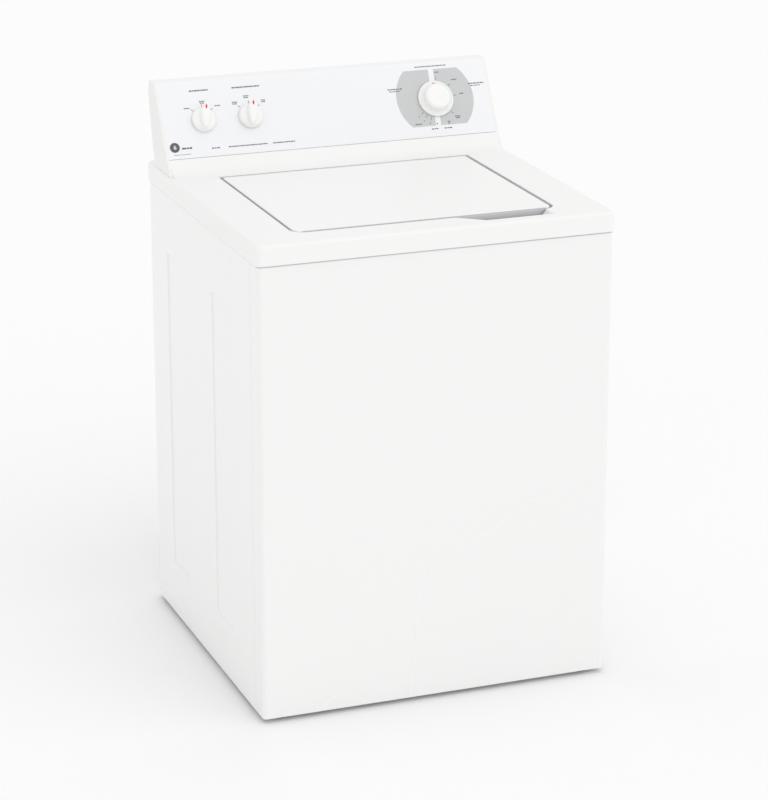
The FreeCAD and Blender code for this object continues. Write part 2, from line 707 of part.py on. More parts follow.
def lid_hinge_bushes():
    body = new_body("lid_hinge_bushes")
    seat = Disc(hinge_y, hinge_z, s.hinge_bush)
    bore = Disc(hinge_y, hinge_z, s.hinge_pin + s.running_play)
    for low, high in ((opening_half, opening_half + s.hinge_bush_length),
                      (-opening_half - s.hinge_bush_length, -opening_half)):
        add(body, "YZ", [seat], low, high)
    for low, high in ((opening_half, opening_half + s.hinge_bush_length),
                      (-opening_half - s.hinge_bush_length, -opening_half)):
        cut(body, "YZ", [bore], low, high)
    return body


def lid_bumpers():
    body = new_body("lid_bumpers")
    inset = s.bumper * 2
    x = s.lid_half_width - inset
    places = [Disc(x, lid_front + inset * 2, s.bumper), Disc(-x, lid_front + inset * 2, s.bumper),
              Disc(x, 0, s.bumper), Disc(-x, 0, s.bumper)]
    add(body, "XY", places, recess_floor, lid_low - s.rest_gap)
    return body


# ---------------------------------------------------------------- lid

def lid():
    body = new_body("lid")
    skin = s.lid_skin
    inner = s.lid_half_width - skin
    add(body, "XY", [box(-s.lid_half_width, s.lid_half_width, lid_front, lid_back)], lid_low, deck_height)
    cut(body, "XY", [box(-inner, inner, lid_front + skin, lid_back - skin)],
        lid_low, deck_height - skin)
    for radius, inset in ((s.lid_front_corner - skin, skin), (s.lid_front_corner, as_size(0))):
        round_off(body, radius, lambda shape: straight(shape, "z", y=lid_front + inset))
    for radius, inset in ((s.lid_back_corner - skin, skin), (s.lid_back_corner, as_size(0))):
        round_off(body, radius, lambda shape: straight(shape, "z", y=lid_back - inset))
    round_off(body, s.lid_edge_round, lambda shape: level_edges(shape, deck_height))
    pin = Disc(hinge_y, hinge_z, s.hinge_pin)
    root_end = s.lid_half_width - s.hinge_pin_root
    cut(body, "YZ", [pin], -s.lid_half_width, -root_end)
    cut(body, "YZ", [pin], root_end, s.lid_half_width)
    return body


def lid_inner_panel():
    """The pan that closes the lid from below, with the strike that works the lid switch."""
    body = new_body("lid_inner_panel")
    skin = s.lid_skin
    inner = s.lid_half_width - skin
    add(body, "XY", [box(-inner, inner, lid_front + skin, lid_back - skin)], lid_low, lid_low + skin)
    round_off(body, s.lid_front_corner - skin, lambda shape: straight(shape, "z", y=lid_front + skin))
    round_off(body, s.lid_back_corner - skin, lambda shape: straight(shape, "z", y=lid_back - skin))
    add(body, "XY", [box(strike_x - s.strike_half, strike_x + s.strike_half,
                         strike_y - s.strike_half, strike_y + s.strike_half)],
        lid_low - s.strike_drop, lid_low)
    return body


def lid_hinge_pins():
    body = new_body("lid_hinge_pins")
    pin = Disc(hinge_y, hinge_z, s.hinge_pin)
    end = opening_half + s.hinge_bush_length - s.panel
    add(body, "YZ", [pin], s.lid_half_width - s.hinge_pin_root, end)
    add(body, "YZ", [pin], -end, s.hinge_pin_root - s.lid_half_width)
    return body


lever_top = lid_low - s.strike_drop - s.lever_gap
lever_pivot_y = strike_y + s.strike_half - s.lever_length
lever_pivot_z = lever_top - s.lever_thickness / 2


def lid_switch_housing():
    body = new_body("lid_switch_housing")
    low_x = strike_x + s.lever_half + s.panel
    under = recess_floor - s.cover_skin
    add(body, "XY", [box(low_x, low_x + s.switch_width, switch_front, switch_back)],
        switch_low, under)
    bore = Disc(lever_pivot_y, lever_pivot_z, s.lever_pin + s.running_play)
    cut(body, "YZ", [bore], low_x, low_x + s.switch_width / 2)
    return body


def lid_switch_lever():
    body = new_body("lid_switch_lever")
    low_x = strike_x - s.lever_half
    high_x = strike_x + s.lever_half
    add(body, "YZ", [box(lever_pivot_y, lever_pivot_y + s.lever_length, lever_top - s.lever_thickness, lever_top)],
        low_x, high_x)
    add(body, "YZ", [Disc(lever_pivot_y, lever_pivot_z, s.lever_thickness)], low_x, high_x)
    add(body, "YZ", [Disc(lever_pivot_y, lever_pivot_z, s.lever_pin)], high_x, high_x + s.switch_width / 3)
    return body


# ---------------------------------------------------------------- console

def control_panel():
    """The leaning face and the top of the console, drawn square to the face."""
    body = new_body("control_panel")
    lean_sine = sine(s.face_lean)
    lean_cosine = cosine(s.face_lean)
    wall = s.console_wall
    length = s.face_length
    reach = s.console_top_depth
    inner_corner = length - wall * lean_cosine + wall * (1 - lean_sine) * lean_sine / lean_cosine
    inner_foot = s.seam_gap + wall * lean_sine / lean_cosine
    profile = [(s.seam_gap, 0), (length, 0), (length + reach * lean_sine, -reach * lean_cosine),
               (length + reach * lean_sine - wall * lean_cosine, -reach * lean_cosine - wall * lean_sine),
               (inner_corner, -wall), (inner_foot, -wall)]
    add(body, "YZ", [profile], -inner_console, inner_console)
    round_off(body, wall * 2, lambda shape: straight(shape, "x", y=length, z=0))
    holes = [Disc(timer_u, s.timer_v, s.shaft_hole), Disc(load_u, s.small_v, s.shaft_hole),
             Disc(temp_u, s.small_v, s.shaft_hole)]
    cut(body, "XY", holes, -wall, 0)
    on_face(body)
    return body


def rear_curve(inset):
    """The back of the console from its top down to the deck, moved in by an inset."""
    top_z = face_point(0, s.face_length)[2]
    return [(rear_top_y - inset, top_z - inset), (rear_bulge_y - inset, rear_bulge_z),
            (rear_waist_y - inset, rear_waist_z), (rear_foot_y - inset, deck_height)]


def end_cap(side, label):
    body = new_body(label)
    _, top_y, top_z = face_point(0, s.face_length)
    outline = [(cove_y, deck_height), (face_y, face_z), (top_y, top_z)] + rear_curve(0)
    inner = inner_console * side
    outer = half_width * side
    low, high = (outer, inner) if side < 0 else (inner, outer)
    add(body, "YZ", [outline], low, high)
    round_off(body, s.console_wall * 2, lambda shape: straight(shape, "x", y=top_y, z=top_z))
    round_off(body, s.cap_width / 3, lambda shape: straight(shape, "x", y=rear_top_y, z=top_z))
    return body


def console_back_cover():
    body = new_body("console_back_cover")
    _, top_y, top_z = face_point(0, s.face_length)
    joint_y = top_y + s.console_top_depth
    outline = [(joint_y, top_z)] + rear_curve(0) + rear_curve(s.rear_skin)[::-1] + [(joint_y, top_z - s.rear_skin)]
    add(body, "YZ", [outline], -inner_console, inner_console)
    cut(body, "XZ", [Disc(x, port_z, s.port_collar + s.panel) for x in ports], valve_back, half_depth)
    return body


def console_base_plate():
    body = new_body("console_base_plate")
    low = face_y + s.console_wall * 2
    add(body, "XY", [box(-inner_console, inner_console, low, rear_foot_y - s.rear_skin)],
        deck_height, deck_height + s.console_plate)
    cut(body, "XY", [box(-console_hole_half, console_hole_half, hole_front, hole_back - s.console_plate)],
        deck_height, deck_height + s.console_plate)
    return body


def timer_body():
    body = new_body("timer_body")
    half = s.timer_box / 2
    back = -s.console_wall - s.timer_box_depth
    add(body, "XY", [box(-half, half, -half, half)], back, -s.console_wall)
    round_off(body, s.console_wall * 2, lambda shape: corners(shape, half, -half, half))
    cut(body, "XY", [Disc(0, 0, s.shaft + s.running_play)], -s.console_wall - s.shaft_depth, -s.console_wall)
    on_face(body, timer_u, s.timer_v)
    return body


def rotary_switch(label, u, radius, depth):
    body = new_body(label)
    add(body, "XY", [Disc(0, 0, radius)], -s.console_wall - depth, -s.console_wall)
    cut(body, "XY", [Disc(0, 0, s.shaft + s.running_play)], -s.console_wall - s.shaft_depth, -s.console_wall)
    on_face(body, u, s.small_v)
    return body


def control_shaft(label, u, v):
    body = new_body(label)
    add(body, "XY", [Disc(0, 0, s.shaft)], s.panel - s.console_wall - s.shaft_depth, s.shaft_reach)
    on_face(body, u, v)
    return body


def timer_knob():
    """A wide skirt with a round grip, bored to slide on the timer shaft."""
    body = new_body("timer_knob")
    bore = s.shaft + s.running_play
    edge = s.timer_skirt / 2
    base = s.knob_gap
    skirt_top = base + s.timer_skirt
    top = base + s.timer_knob_height
    bore_top = s.shaft_reach + s.knob_gap
    turn(body, [(bore, base), (s.timer_knob, base), (s.timer_knob, skirt_top - edge), (s.timer_knob - edge, skirt_top),
                (s.timer_grip + edge, skirt_top), (s.timer_grip, skirt_top + edge), (s.timer_grip - edge, top - edge),
                (s.timer_grip - edge * 2, top), (0, top), (0, bore_top), (bore, bore_top)])
    on_face(body, timer_u, s.timer_v)
    return body


def turned_point(across, up, angle):
    """A point turned clockwise about the origin."""
    across = as_size(across)
    up = as_size(up)
    return across * cosine(angle) + up * sine(angle), up * cosine(angle) - across * sine(angle)


def pointer_knob(label, u):
    """A round skirt with a bar grip that points at the marks."""
    body = new_body(label)
    base = s.knob_gap
    skirt_top = base + s.small_skirt
    top = base + s.small_knob_height
    add(body, "XY", [Disc(0, 0, s.small_knob)], base, skirt_top)
    shoulder = s.grip_nose - s.grip_half
    bar = [(-s.grip_half / 2, -s.grip_tail), (s.grip_half / 2, -s.grip_tail), (s.grip_half, shoulder),
           (0, s.grip_nose), (-s.grip_half, shoulder)]
    add(body, "XY", [[turned_point(across, up, s.pointer_rest) for across, up in bar]], base, top)
    cut(body, "XY", [Disc(0, 0, s.shaft)], base, s.shaft_reach)
    round_off(body, s.knob_gap * 2, lambda shape: level_edges(shape, top))
    on_face(body, u, s.small_v)
    return body


# ---------------------------------------------------------------- water inlet and fill

def inlet_valve_body():
    body = new_body("inlet_valve_body")
    half = s.valve_half
    add(body, "XY", [box(s.valve_x - half, s.valve_x + half, valve_front, valve_back)],
        valve_low, valve_high)
    add(body, "XZ", [Disc(x, port_z, s.port_collar) for x in ports], valve_back, port_collar_end)
    add(body, "XZ", [Disc(x, port_z, s.port_radius) for x in ports], port_collar_end, port_end)
    cut(body, "XZ", [Disc(x, port_z, s.port_bore) for x in ports], valve_front + s.panel * 4, port_end)
    cut(body, "XY", [Disc(s.valve_x, solenoid_y, s.nozzle_bore)], valve_low, port_z)
    return body


def inlet_valve_solenoids():
    body = new_body("inlet_valve_solenoids")
    add(body, "XY", [Disc(x, solenoid_y, s.solenoid) for x in ports], valve_high, valve_high + s.solenoid_height)
    return body


def swept_tube(label, x, path, outer, inner):
    """A tube along a route in an upright plane at one x."""
    body = new_body(label)
    route = new_sketch(body, "YZ", x, [path], closed=False)
    start_y, start_z = path[0]
    profile = new_sketch(body, "XY", start_z, [Disc(x, start_y, outer), Disc(x, start_y, inner)])
    pipe = body.newObject("PartDesign::AdditivePipe", label + "_pipe")
    pipe.Profile = profile
    pipe.Spine = route
    pipe.Transition = "Round corner"
    body.Tip = pipe
    return body


def fill_nozzle():
    path = [(solenoid_y, valve_low), (solenoid_y, nozzle_z), (mouth_back, nozzle_z)]
    return swept_tube("fill_nozzle", s.valve_x, path, s.nozzle, s.nozzle_bore)


# ---------------------------------------------------------------- suspension

def suspension_rods():
    body = new_body("suspension_rods")
    head = bracket_level + s.bracket_thickness
    add(body, "XY", [Disc(x, y, s.rod) for x, y in rod_places], s.rod_bottom, head)
    add(body, "XY", [Disc(x, y, s.rod_head) for x, y in rod_places], head, head + s.rod_head_height)
    add(body, "XY", [Disc(x, y, s.spring_cup) for x, y in rod_places], s.rod_bottom, spring_low)
    return body


def suspension_springs():
    """Coil springs squeezed between the cup on each rod and the arm of the platform."""
    members = []
    height = platform_low - spring_low - s.spring_wire * 2 - s.rest_gap * 2
    for number, (x, y) in enumerate(rod_places, start=1):
        helix = doc.addObject("Part::Helix", "spring_route_%d" % number)
        bind(helix, "Radius", s.spring_radius)
        bind(helix, "Height", height)
        bind(helix, "Pitch", height / s.spring_turns)
        wire = doc.addObject("Part::Circle", "spring_wire_%d" % number)
        wire.Placement = FreeCAD.Placement(V(0, 0, 0), FreeCAD.Rotation(V(1, 0, 0), 90))
        bind(wire, "Radius", s.spring_wire)
        bind(wire, "Placement.Base.x", s.spring_radius)
        coil = doc.addObject("Part::Sweep", "spring_coil_%d" % number)
        coil.Sections = [wire]
        coil.Spine = (helix, [])
        coil.Solid = True
        coil.Frenet = True
        place(coil, x, y, spring_low + s.spring_wire + s.rest_gap)
        members.append(coil)
    return group("suspension_springs", members)


def support_platform():
    body = new_body("support_platform")
    top = s.platform_top
    arm = s.arm_half
    add(body, "XY", [Disc(0, 0, platform_radius)], platform_low, top)
    for side in (-1, 1):
        x = rod_x * side
        bar = [(-x - arm * side, arm - rod_y), (arm * side - x, -rod_y - arm),
               (x + arm * side, rod_y - arm), (x - arm * side, rod_y + arm)]
        add(body, "XY", [bar if side > 0 else bar[::-1]], platform_low, top)
    for x, y in rod_places:
        add(body, "XY", [Disc(x, y, s.arm_eye)], platform_low, top)
    cut(body, "XY", [Disc(x, y, s.rod + s.rod_clearance) for x, y in rod_places], platform_low, top)
    cut(body, "XY", [Disc(0, 0, s.tub_hub)], platform_low, top)
    return body


# ---------------------------------------------------------------- tub

def outer_tub():
    body = new_body("outer_tub")
    outer = tub_radius
    inner = outer - s.tub_wall
    slope = s.tub_slope
    floor = s.tub_bottom + s.tub_floor
    turn(body, [(s.tub_hub, s.tub_bottom), (outer - slope, s.tub_bottom), (outer, s.tub_bottom + slope),
                (outer, tub_top), (inner, tub_top), (inner, floor + slope), (inner - slope, floor),
                (s.tub_hub, floor)])
    # the nipple of the water level tube
    wall_y = root(inner * inner - s.pressure_x * s.pressure_x)
    add(body, "XZ", [Disc(s.pressure_x, s.pressure_z, s.nipple)], wall_y + s.tub_wall, nipple_end)
    return body


def tub_cover_ring():
    body = new_body("tub_cover_ring")
    lip = s.ring_lip
    outer = tub_radius + lip
    top = tub_top + lip
    turn(body, [(ring_inner, tub_top), (tub_radius, tub_top), (tub_radius, tub_top - s.ring_skirt),
                (outer, tub_top - s.ring_skirt), (outer, top), (ring_inner + lip, top),
                (ring_inner + lip, top + s.ring_upstand), (ring_inner, top + s.ring_upstand)])
    return body


def tub_bearing():
    body = new_body("tub_bearing")
    bore = s.spin_tube + s.running_play
    turn(body, [(bore, platform_low), (s.tub_hub, platform_low), (s.tub_hub, s.tub_bottom + s.tub_floor),
                (s.tub_hub - s.tub_floor * 2, s.bearing_top), (bore, s.bearing_top)])
    return body


def gearcase():
    body = new_body("gearcase")
    bore = s.spin_tube + s.running_play
    rim = platform_low - s.gearcase_rim
    turn(body, [(bore, s.gearcase_low), (s.gearcase_radius * 0.6, s.gearcase_low),
                (s.gearcase_radius, s.gearcase_low + s.gearcase_rim * 2), (s.gearcase_radius, rim),
                (s.gearcase_flange, rim), (s.gearcase_flange, platform_low), (bore, platform_low)])
    return body


def drive_motor():
    body = new_body("drive_motor")
    radius = s.motor_radius
    edge = s.gearcase_rim
    bore = s.motor_shaft + s.running_play
    deep = s.motor_low + s.motor_boss * 2
    turn(body, [(bore, s.motor_low), (s.motor_boss, s.motor_low), (s.motor_boss, s.motor_low + edge),
                (radius - edge, s.motor_low + edge), (radius, s.motor_low + edge * 2), (radius, platform_low),
                (0, platform_low), (0, deep), (bore, deep)])
    place(body, 0, s.motor_y)
    return body


def motor_shaft():
    body = new_body("motor_shaft")
    add(body, "XY", [Disc(0, 0, s.motor_shaft)], s.pulley_low - s.pulley_flange,
        s.motor_low + s.motor_boss * 2 - s.panel)
    place(body, 0, s.motor_y)
    return body


def pulley(label, flange_radius, groove_radius, bore, hub_radius, hub_top, y):
    """A grooved wheel with a hub that rises towards what drives it."""
    body = new_body(label)
    low = s.pulley_low
    lip = s.pulley_flange
    turn(body, [(bore, low), (flange_radius, low), (flange_radius, low + lip), (groove_radius, low + lip),
                (groove_radius, pulley_top - lip), (flange_radius, pulley_top - lip), (flange_radius, pulley_top),
                (hub_radius, pulley_top), (hub_radius, hub_top), (bore, hub_top)])
    place(body, 0, y)
    return body


def drive_pulley():
    return pulley("drive_pulley", s.big_pulley, s.big_groove, s.drive_shaft + s.running_play, s.pulley_hub,
                  s.gearcase_low - s.pulley_flange, 0)


def motor_pulley():
    return pulley("motor_pulley", s.small_pulley, s.small_groove, s.motor_shaft, s.motor_boss,
                  s.motor_low - s.pulley_flange, s.motor_y)


def belt_loop(body, big, small, low, high, build):
    """Two discs and the quadrilateral between their outer tangents."""
    lean = (big - small) / -s.motor_y
    upright = root(1 - lean * lean)
    band = [(-big * upright, -big * lean), (big * upright, -big * lean),
            (small * upright, s.motor_y - small * lean), (-small * upright, s.motor_y - small * lean)]
    build(body, "XY", [Disc(0, 0, big)], low, high)
    build(body, "XY", [Disc(0, s.motor_y, small)], low, high)
    build(body, "XY", [band], low, high)


def drive_belt():
    body = new_body("drive_belt")
    low = s.pulley_low + s.pulley_flange + s.belt_side_play
    high = pulley_top - s.pulley_flange - s.belt_side_play
    big = s.big_groove + s.belt_play
    small = s.small_groove + s.belt_play
    belt_loop(body, big + s.belt_thickness, small + s.belt_thickness, low, high, add)
    belt_loop(body, big, small, low, high, cut)
    return body


def drain_pump():
    """The pump chamber under the platform, its motor above it and the outlet to the drain hose."""
    body = new_body("drain_pump")
    radius = s.pump_radius
    wall = s.pump_wall
    inner = radius - wall
    bore = s.impeller_shaft + s.running_play
    seat = s.pump_high + s.motor_boss
    turn(body, [(0, s.pump_low), (radius, s.pump_low), (radius, s.pump_high), (s.pump_motor, s.pump_high),
                (s.pump_motor, platform_low), (0, platform_low), (0, seat), (bore, seat),
                (bore, s.pump_high - wall), (inner, s.pump_high - wall), (inner, s.pump_low + wall),
                (0, s.pump_low + wall)])
    reach = drain_x - pump_x - s.drain_radius
    spigot_y = as_size(0)
    add(body, "YZ", [Disc(spigot_y, s.drain_z, s.drain_bore)], inner, reach - s.drain_bore)
    cut(body, "YZ", [Disc(spigot_y, s.drain_z, s.drain_bore - wall)], inner - wall, reach - s.drain_bore)
    place(body, pump_x, s.pump_y)
    return body


def pump_impeller():
    body = new_body("pump_impeller")
    low = s.pump_low + s.pump_wall + s.panel
    disc_top = low + s.impeller_disc
    turn(body, [(0, low), (s.impeller, low), (s.impeller, disc_top), (s.impeller_shaft, disc_top),
                (s.impeller_shaft, s.pump_high + s.motor_boss - s.panel), (0, s.pump_high + s.motor_boss - s.panel)])
    blade = add(body, "XY", [box(s.impeller_shaft - s.panel, s.impeller - s.panel, -s.panel, s.panel)],
                disc_top, low + s.impeller_height)
    pattern(body, blade, as_size(5))
    place(body, pump_x, s.pump_y)
    return body


def drain_hose():
    """From the pump's outlet round one bend to the inner end of the drain port."""
    body = new_body("drain_hose")
    inner = s.drain_radius
    outer = inner + s.hose_wall
    start_x = pump_x + s.pump_radius + s.hose_wall
    end_y = drain_well_floor - s.panel * 2
    route = new_sketch(body, "XY", s.drain_z, [[(start_x, s.pump_y), (drain_x, s.pump_y), (drain_x, end_y)]],
                       closed=False)
    profile = new_sketch(body, "YZ", start_x, [Disc(s.pump_y, s.drain_z, outer), Disc(s.pump_y, s.drain_z, inner)])
    pipe = body.newObject("PartDesign::AdditivePipe", "drain_hose_pipe")
    pipe.Profile = profile
    pipe.Spine = route
    pipe.Transition = "Round corner"
    body.Tip = pipe
    return body


def pressure_hose():
    path = [(pressure_y, pressure_top), (pressure_y, s.pressure_z),
            (nipple_end - s.nipple * 2, s.pressure_z)]
    return swept_tube("pressure_hose", s.pressure_x, path, s.nipple + s.rest_gap + s.panel * 2,
                      s.nipple + s.rest_gap)


# ---------------------------------------------------------------- basket and agitator

def wash_basket():
    body = new_body("wash_basket")
    outer = basket_radius
    inner = outer - s.basket_wall
    slope = s.basket_slope
    floor = s.basket_bottom + s.basket_floor
    hub_top = s.spin_tube_top
    turn(body, [(s.spin_tube, s.basket_bottom), (outer - slope, s.basket_bottom), (outer, s.basket_bottom + slope),
                (outer, basket_top), (inner, basket_top), (inner, floor + slope), (inner - slope, floor),
                (s.tub_hub, floor), (s.tub_hub, hub_top), (s.spin_tube, hub_top)])
    return body


def balance_ring():
    body = new_body("balance_ring")
    edge = s.balance_height / 4
    low = basket_top
    top = low + s.balance_height
    turn(body, [(balance_inner, low + edge), (balance_inner + edge, low), (balance_outer, low),
                (balance_outer, top - edge), (balance_outer - edge, top), (balance_inner + edge, top),
                (balance_inner, top - edge)])
    return body


def spin_tube():
    body = new_body("spin_tube")
    bore = s.drive_shaft + s.running_play
    turn(body, [(bore, s.spin_tube_low), (s.spin_tube, s.spin_tube_low), (s.spin_tube, s.spin_tube_top),
                (bore, s.spin_tube_top)])
    return body


def agitator_outline(inset):
    """Half outline of the agitator from its skirt up to its neck, moved in by an inset."""
    rise = s.agitator_waist_z - s.agitator_bottom
    spread = s.agitator_radius - s.agitator_waist
    points = [(s.agitator_radius - inset, s.agitator_bottom)]
    for step in (0.03, 0.12, 0.3, 0.6, 1.0):
        points.append((s.agitator_waist + spread * round((1 - step ** 0.5) ** 1.6, 4) - inset,
                       s.agitator_bottom + rise * step - inset * (1 - step)))
    return points


def agitator():
    body = new_body("agitator")
    wall = s.agitator_wall
    outer = agitator_outline(as_size(0)) + [(s.agitator_neck, agitator_top), (s.drive_shaft, agitator_top)]
    inner = [(s.drive_shaft, agitator_top - wall * 2), (s.agitator_neck - wall, agitator_top - wall * 2)]
    inner += agitator_outline(wall)[:0:-1] + [(s.agitator_radius - wall * 2, s.agitator_bottom)]
    turn(body, outer + inner)
    waist = s.agitator_waist - wall / 2
    vane = [(waist, s.agitator_bottom + wall), (s.vane_radius, s.agitator_bottom + wall),
            (s.vane_radius, s.agitator_bottom + wall * 4), (s.vane_radius * 0.8, s.agitator_waist_z - wall * 10),
            (s.agitator_waist * 1.3, s.agitator_waist_z), (s.agitator_neck + wall, s.vane_top),
            (s.agitator_neck, s.vane_top)]
    fin = add(body, "XZ", [vane], -s.vane_half, s.vane_half)
    pattern(body, fin, s.vane_count)
    return body


def agitator_cap():
    body = new_body("agitator_cap")
    low = agitator_top
    rim = s.cap_rim
    top = low + s.cap_height
    turn(body, [(0, low), (rim, low), (rim, low + rim / 6), (rim - rim / 6, low + s.cap_height * 0.7),
                (rim / 2, top), (0, top)])
    return body


def agitator_shaft():
    body = new_body("agitator_shaft")
    add(body, "XY", [Disc(0, 0, s.drive_shaft)], s.drive_shaft_low, drive_shaft_top)
    return body


# ---------------------------------------------------------------- assembly

pieces = [
    cabinet_wrapper(), front_panel(), base_frame(), corner_brackets(), rear_access_panel(), rear_panel_screws(),
    power_inlet_gland(), drain_port(), foot_nuts(), top_cover(), lid_hinge_bushes(), lid_bumpers(),
    lid(), lid_inner_panel(), lid_hinge_pins(), lid_switch_housing(), lid_switch_lever(),
    control_panel(), end_cap(-1, "end_cap_left"), end_cap(1, "end_cap_right"), console_back_cover(),
    console_base_plate(), timer_body(),
    rotary_switch("water_level_switch", load_u, s.level_switch, s.level_switch_depth),
    rotary_switch("temperature_switch", temp_u, s.temp_switch, s.temp_switch_depth),
    control_shaft("timer_shaft", timer_u, s.timer_v), control_shaft("water_level_shaft", load_u, s.small_v),
    control_shaft("temperature_shaft", temp_u, s.small_v), timer_knob(),
    pointer_knob("water_level_knob", load_u), pointer_knob("temperature_knob", temp_u),
    inlet_valve_body(), inlet_valve_solenoids(), fill_nozzle(), suspension_rods(), suspension_springs(),
    support_platform(), outer_tub(), tub_cover_ring(), tub_bearing(), gearcase(), drive_motor(), motor_shaft(),
    drive_pulley(), motor_pulley(), drive_belt(), drain_pump(), pump_impeller(), drain_hose(), pressure_hose(),
    wash_basket(), balance_ring(), spin_tube(), agitator(), agitator_cap(), agitator_shaft(),
]
pieces += [levelling_foot(corner) for corner in foot_places]

doc.recompute()
for item in doc.Objects:
    if "Invalid" in item.State or "Error" in item.State:
        raise RuntimeError("%s is in state %s" % (item.Label, item.State))
os.makedirs("parts", exist_ok=True)
for piece in pieces:
    if piece.Shape.isNull() or not piece.Shape.isValid() or not piece.Shape.Solids:
        raise RuntimeError(piece.Label + " has no valid solid")
    piece.Shape.exportStep("parts/%s.step" % piece.Label)
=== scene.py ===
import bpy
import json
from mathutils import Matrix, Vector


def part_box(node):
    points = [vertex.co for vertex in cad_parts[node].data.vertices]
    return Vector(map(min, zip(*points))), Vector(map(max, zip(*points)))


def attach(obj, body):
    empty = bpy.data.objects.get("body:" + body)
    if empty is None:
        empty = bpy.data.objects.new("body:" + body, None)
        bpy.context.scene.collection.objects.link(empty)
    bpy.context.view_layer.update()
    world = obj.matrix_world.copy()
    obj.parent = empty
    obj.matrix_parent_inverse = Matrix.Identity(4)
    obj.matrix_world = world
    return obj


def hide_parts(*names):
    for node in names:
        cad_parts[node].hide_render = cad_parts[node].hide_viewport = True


bl_info = {
    "name": "Top Load Washer",
    "version": (1, 0, 0),
    "blender": (4, 5, 0),
    "location": "View3D > Sidebar > Washer",
    "description": "Dresses the packed frame of a top load washing machine with its finished shells, knobs and marks",
    "category": "Add Mesh",
}

import bmesh
import bpy
import json
import math
from bpy.props import FloatProperty, FloatVectorProperty, IntProperty, PointerProperty
from mathutils import Matrix, Vector

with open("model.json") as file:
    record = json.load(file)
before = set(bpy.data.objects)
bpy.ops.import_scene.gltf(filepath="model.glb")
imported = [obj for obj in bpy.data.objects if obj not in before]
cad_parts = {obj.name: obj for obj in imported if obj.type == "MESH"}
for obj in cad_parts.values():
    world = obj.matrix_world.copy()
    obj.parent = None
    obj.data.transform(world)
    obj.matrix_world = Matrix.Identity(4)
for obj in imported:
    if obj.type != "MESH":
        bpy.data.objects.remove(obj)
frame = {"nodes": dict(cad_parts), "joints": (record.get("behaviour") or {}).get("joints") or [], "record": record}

MM = 0.001
LEAN = math.radians(30)


# ------------------------------------------------------------------ settings

def colour_of(slot):
    """The record's colour of a material slot."""
    for entry in frame["record"]["materials"]:
        if entry["slot"] == slot:
            return tuple(entry["base_color"][:3])
    raise ValueError("no material slot " + slot)


def length(name, description, default):
    return FloatProperty(name=name, description=description, default=default, unit="LENGTH", precision=4)


def colour(name, description, default):
    return FloatVectorProperty(name=name, description=description, default=default, size=3, subtype="COLOR",
                               min=0, max=1)


class WasherFinish(bpy.types.PropertyGroup):
    enamel: colour("Enamel", "Baked enamel of the cabinet", colour_of("cabinet_enamel"))
    top_enamel: colour("Top enamel", "Enamel of the top cover", colour_of("top_enamel"))
    lid_enamel: colour("Lid enamel", "Enamel of the lid", colour_of("lid_enamel"))
    panel: colour("Panel", "Plastic of the console face", colour_of("panel_plastic"))
    end_cap: colour("End cap", "Plastic of the console ends", (0.895, 0.89, 0.88))
    knob: colour("Knob", "Plastic of the knobs", colour_of("knob_plastic"))
    dial_grey: colour("Dial grey", "Printed grey field round the timer knob", (0.61, 0.615, 0.62))
    ink: colour("Ink", "Printed marks on the console", (0.11, 0.115, 0.13))
    pointer_red: colour("Pointer red", "Pointers of the knobs", (0.78, 0.045, 0.03))
    # painted shade: colour mixed into the gap round the lid and onto the lid's edges
    painted_gap_shade: colour("Crevice", "Shade that gathers in the gap round the lid", (0.3, 0.32, 0.33))


class WasherConsole(bpy.types.PropertyGroup):
    print_lift: length("Print lift", "Thickness of the print on the face", 0.00012)
    dial_radius: length("Dial radius", "Radius of the grey field", 0.081)
    dial_low: length("Dial low", "Height up the slope where the grey field is cut off below", 0.0235)
    dial_high: length("Dial high", "Height up the slope where the grey field is cut off above", 0.1395)
    dial_strip: length("Dial strip", "Width of the white strip through the grey field", 0.013)
    tick: length("Tick", "Width of a printed tick", 0.0009)
    figure: length("Figure", "Height of a printed figure", 0.0055)
    flutes: IntProperty(name="Flutes", description="Flutes round the timer grip", default=36, min=8)


class WasherTub(bpy.types.PropertyGroup):
    columns: IntProperty(name="Columns", description="Columns round the basket wall", default=72, min=12)
    rows: IntProperty(name="Rows", description="Rows up the basket wall", default=17, min=3)
    blank: IntProperty(name="Blank", description="Every so many columns one is left without holes", default=6, min=2)
    hole: length("Hole", "Width of a drain hole in the basket", 0.0065)
    sheet: length("Sheet", "Thickness of the basket sheet", 0.0015)
    vanes: IntProperty(name="Vanes", description="Tall vanes of the agitator", default=4, min=2)


class WasherStage(bpy.types.PropertyGroup):
    azimuth: FloatProperty(name="Azimuth", description="Camera turned round the machine, in degrees", default=-20.7)
    elevation: FloatProperty(name="Elevation", description="Camera above the horizon, in degrees", default=18.4)
    lens: FloatProperty(name="Lens", description="Focal length in millimetres", default=133.3)
    camera_place: FloatVectorProperty(name="Camera place", description="Where the camera stands",
                                      default=(-1.902, -5.088, 2.294), size=3, subtype="XYZ")
    key: FloatProperty(name="Key", description="Strength of the wide soft key light", default=0.36)
    sky: FloatProperty(name="Sky", description="Strength of the even surround", default=0.93)


# ------------------------------------------------------------------ materials

class Value:
    """A value socket that adds its own maths nodes, so a mask can be written as an expression."""

    def __init__(self, paint, socket):
        self.paint = paint
        self.socket = socket

    def maths(self, operation, first, second=0.0):
        return self.paint.node("ShaderNodeMath", {"operation": operation}, {0: first, 1: second})

    def __add__(self, other):
        return self.maths("ADD", self, other)

    def __sub__(self, other):
        return self.maths("SUBTRACT", self, other)

    def __rsub__(self, other):
        return self.maths("SUBTRACT", other, self)

    def __mul__(self, other):
        return self.maths("MULTIPLY", self, other)

    def __gt__(self, other):
        return self.maths("GREATER_THAN", self, other)

    def __lt__(self, other):
        return self.maths("LESS_THAN", self, other)

    def __abs__(self):
        return self.maths("ABSOLUTE", self)

    __radd__ = __add__
    __rmul__ = __mul__


